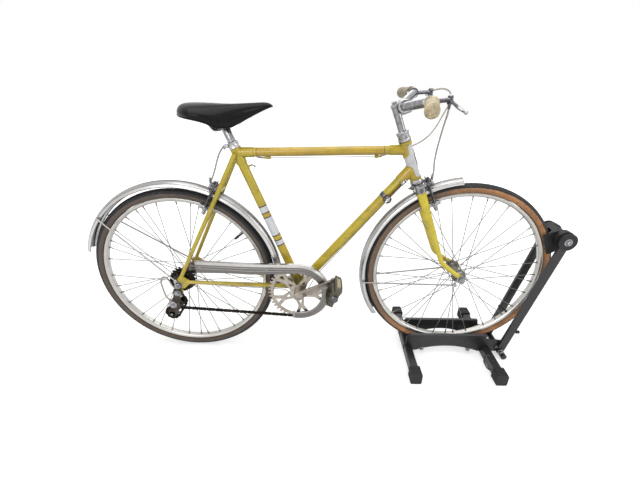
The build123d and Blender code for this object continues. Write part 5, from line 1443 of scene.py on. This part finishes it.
# ribs that fan out over the holder's cheeks
cheeks = Solid()
OUTWARD = (ARM_HEAD - FRONT).normalized()
CROSSWISE = Vector((-OUTWARD.z, 0, OUTWARD.x))
for side in (-1, 1):
    for i in range(7):
        spread = radians(-42 + 14 * i)
        ray = -OUTWARD * cos(spread) + CROSSWISE * sin(spread)
        start = ARM_HEAD + ray * (DISC_R - 2) + LEFT * side * 22.4
        reach = 30 - 1.1 * abs(i - 3) ** 2
        cheeks.tube([start, start + ray * reach / 2 + LEFT * side * 0.8,
                     start + ray * reach + LEFT * side * 1.8], [1.5, 1.3, 0.8], 8)
cheeks.finish("holder_ribs", "fork", "stand_rubber")

# a wire clip on the front bar, a stop peg on the near arm, and the rails' bolt heads
clip = smooth([at(945.6, -92, 46), at(934, -98, 52), at(925.7, -102, 50), at(923.5, -110, 38),
    at(930, -120, 26), at(939, -124, 20)], 5)
stand_trim.tube(clip, 2.4, 10)
stand_trim.lathe(at(970.2, -110, 20), FORWARD, [(0, 8), (2.4, 7.6), (4.2, 5), (4.6, 2)], 26)
stand_trim.lathe(at(1046, -43, 100), FORWARD, [(-8, 5.2), (1, 5.2), (2.2, 4)], 20)
for x in (752, 903):
    for side in (-1, 1):
        stand_bolts.bolt(at(x, side * 38.2, 21), LEFT * side, 9.5, 4)
stand_bolts.bolt(at(994.8, -40, 33.2), RIGHT, 8, 3.4)
for side in (-1, 1):
    stand_trim.lathe(at(1012, side * 60.6, 11), LEFT * side, [(0, 9.4), (1.6, 9.2), (2.6, 8), (2.8, 3)], 28)
stand_bolts.finish("stand_bolts", "fork", "chrome")
stand_trim.finish("stand_trim", "fork", "stand")

# ---- stage, light and camera
def stage_material(name, near, far):
    """A pale diffuse floor for the light, which the camera and reflections see rise to white further out."""
    g = Graph(name)
    path = g.node("LightPath", {})
    seen = g.sum("MAXIMUM", path.outputs["Is Camera Ray"], path.outputs["Is Glossy Ray"])
    distance = g.vector("LENGTH", g.place, (0, 0, 0))
    glow = g.node("Emission", {"Color": (1, 1, 1, 1), "Strength": g.fade(distance, near, far, 0.5, 1)})
    pale = g.node("BsdfDiffuse", {"Color": (0.8, 0.8, 0.8, 1)})
    both = g.node("AddShader", {0: glow.outputs[0], 1: pale.outputs[0]})
    mixed = g.node("MixShader", {0: seen, 1: pale.outputs[0], 2: both.outputs[0]})
    g.put(g.tree.nodes["Material Output"].inputs["Surface"], mixed.outputs[0])
    return g.owner


floor_mesh = bpy.data.meshes.new("floor")
floor_mesh.from_pydata([(-8, -8, 0), (8, -8, 0), (8, 8, 0), (-8, 8, 0)], [], [(0, 1, 2, 3)])
floor_mesh.materials.append(stage_material("pale_floor", 0.9, 2.4))
show("floor", floor_mesh)


def area_light(name, place, target, size, power):
    light = bpy.data.lights.new(name, "AREA")
    light.shape = "RECTANGLE"
    light.size, light.size_y = size
    light.energy = power
    lamp = show(name, light)
    lamp.location = place
    lamp.rotation_euler = (Vector(target) - Vector(place)).to_track_quat("-Z", "Y").to_euler()


area_light("top_softbox", (0, -0.2, 2.6), (0, 0, 0.3), (2.6, 1.8), 36)
area_light("front_softbox", (-1, -2.6, 1.7), (0, 0, 0.4), (1.8, 1.4), 28)
area_light("side_softbox", (2.4, -1, 1.4), (0.2, 0, 0.4), (1.2, 1.4), 12)
area_light("back_softbox", (0.4, 2.6, 2), (0, 0, 0.4), (2.4, 1), 16)

# the world is white to the camera and to reflections, and dimmer as a light
sky = Graph("studio", bpy.data.worlds, "Background")
rays = sky.node("LightPath", {}).outputs
seen = sky.sum("MAXIMUM", rays["Is Camera Ray"], rays["Is Glossy Ray"])
seen = sky.sum("MAXIMUM", seen, rays["Is Transmission Ray"])
bpy.context.scene.world = sky.finish(Color=(1, 1, 1, 1), Strength=sky.fade(seen, 0, 1, 0.32, 1))

camera_data = bpy.data.cameras.new("camera")
camera_data.sensor_width = 36
camera_data.lens = 18.635
camera = show("camera", camera_data)
camera.location = at(436, -881, 814.8) * MM
TURN, TILT = -0.0233, 0.444  # how far the view turns to the right and dips, in radians
forward = Vector((sin(TURN) * cos(TILT), cos(TURN) * cos(TILT), -sin(TILT)))
camera.rotation_euler = forward.to_track_quat("-Z", "Y").to_euler()
bpy.context.scene.camera = camera
bpy.context.scene.view_settings.view_transform = "Standard"
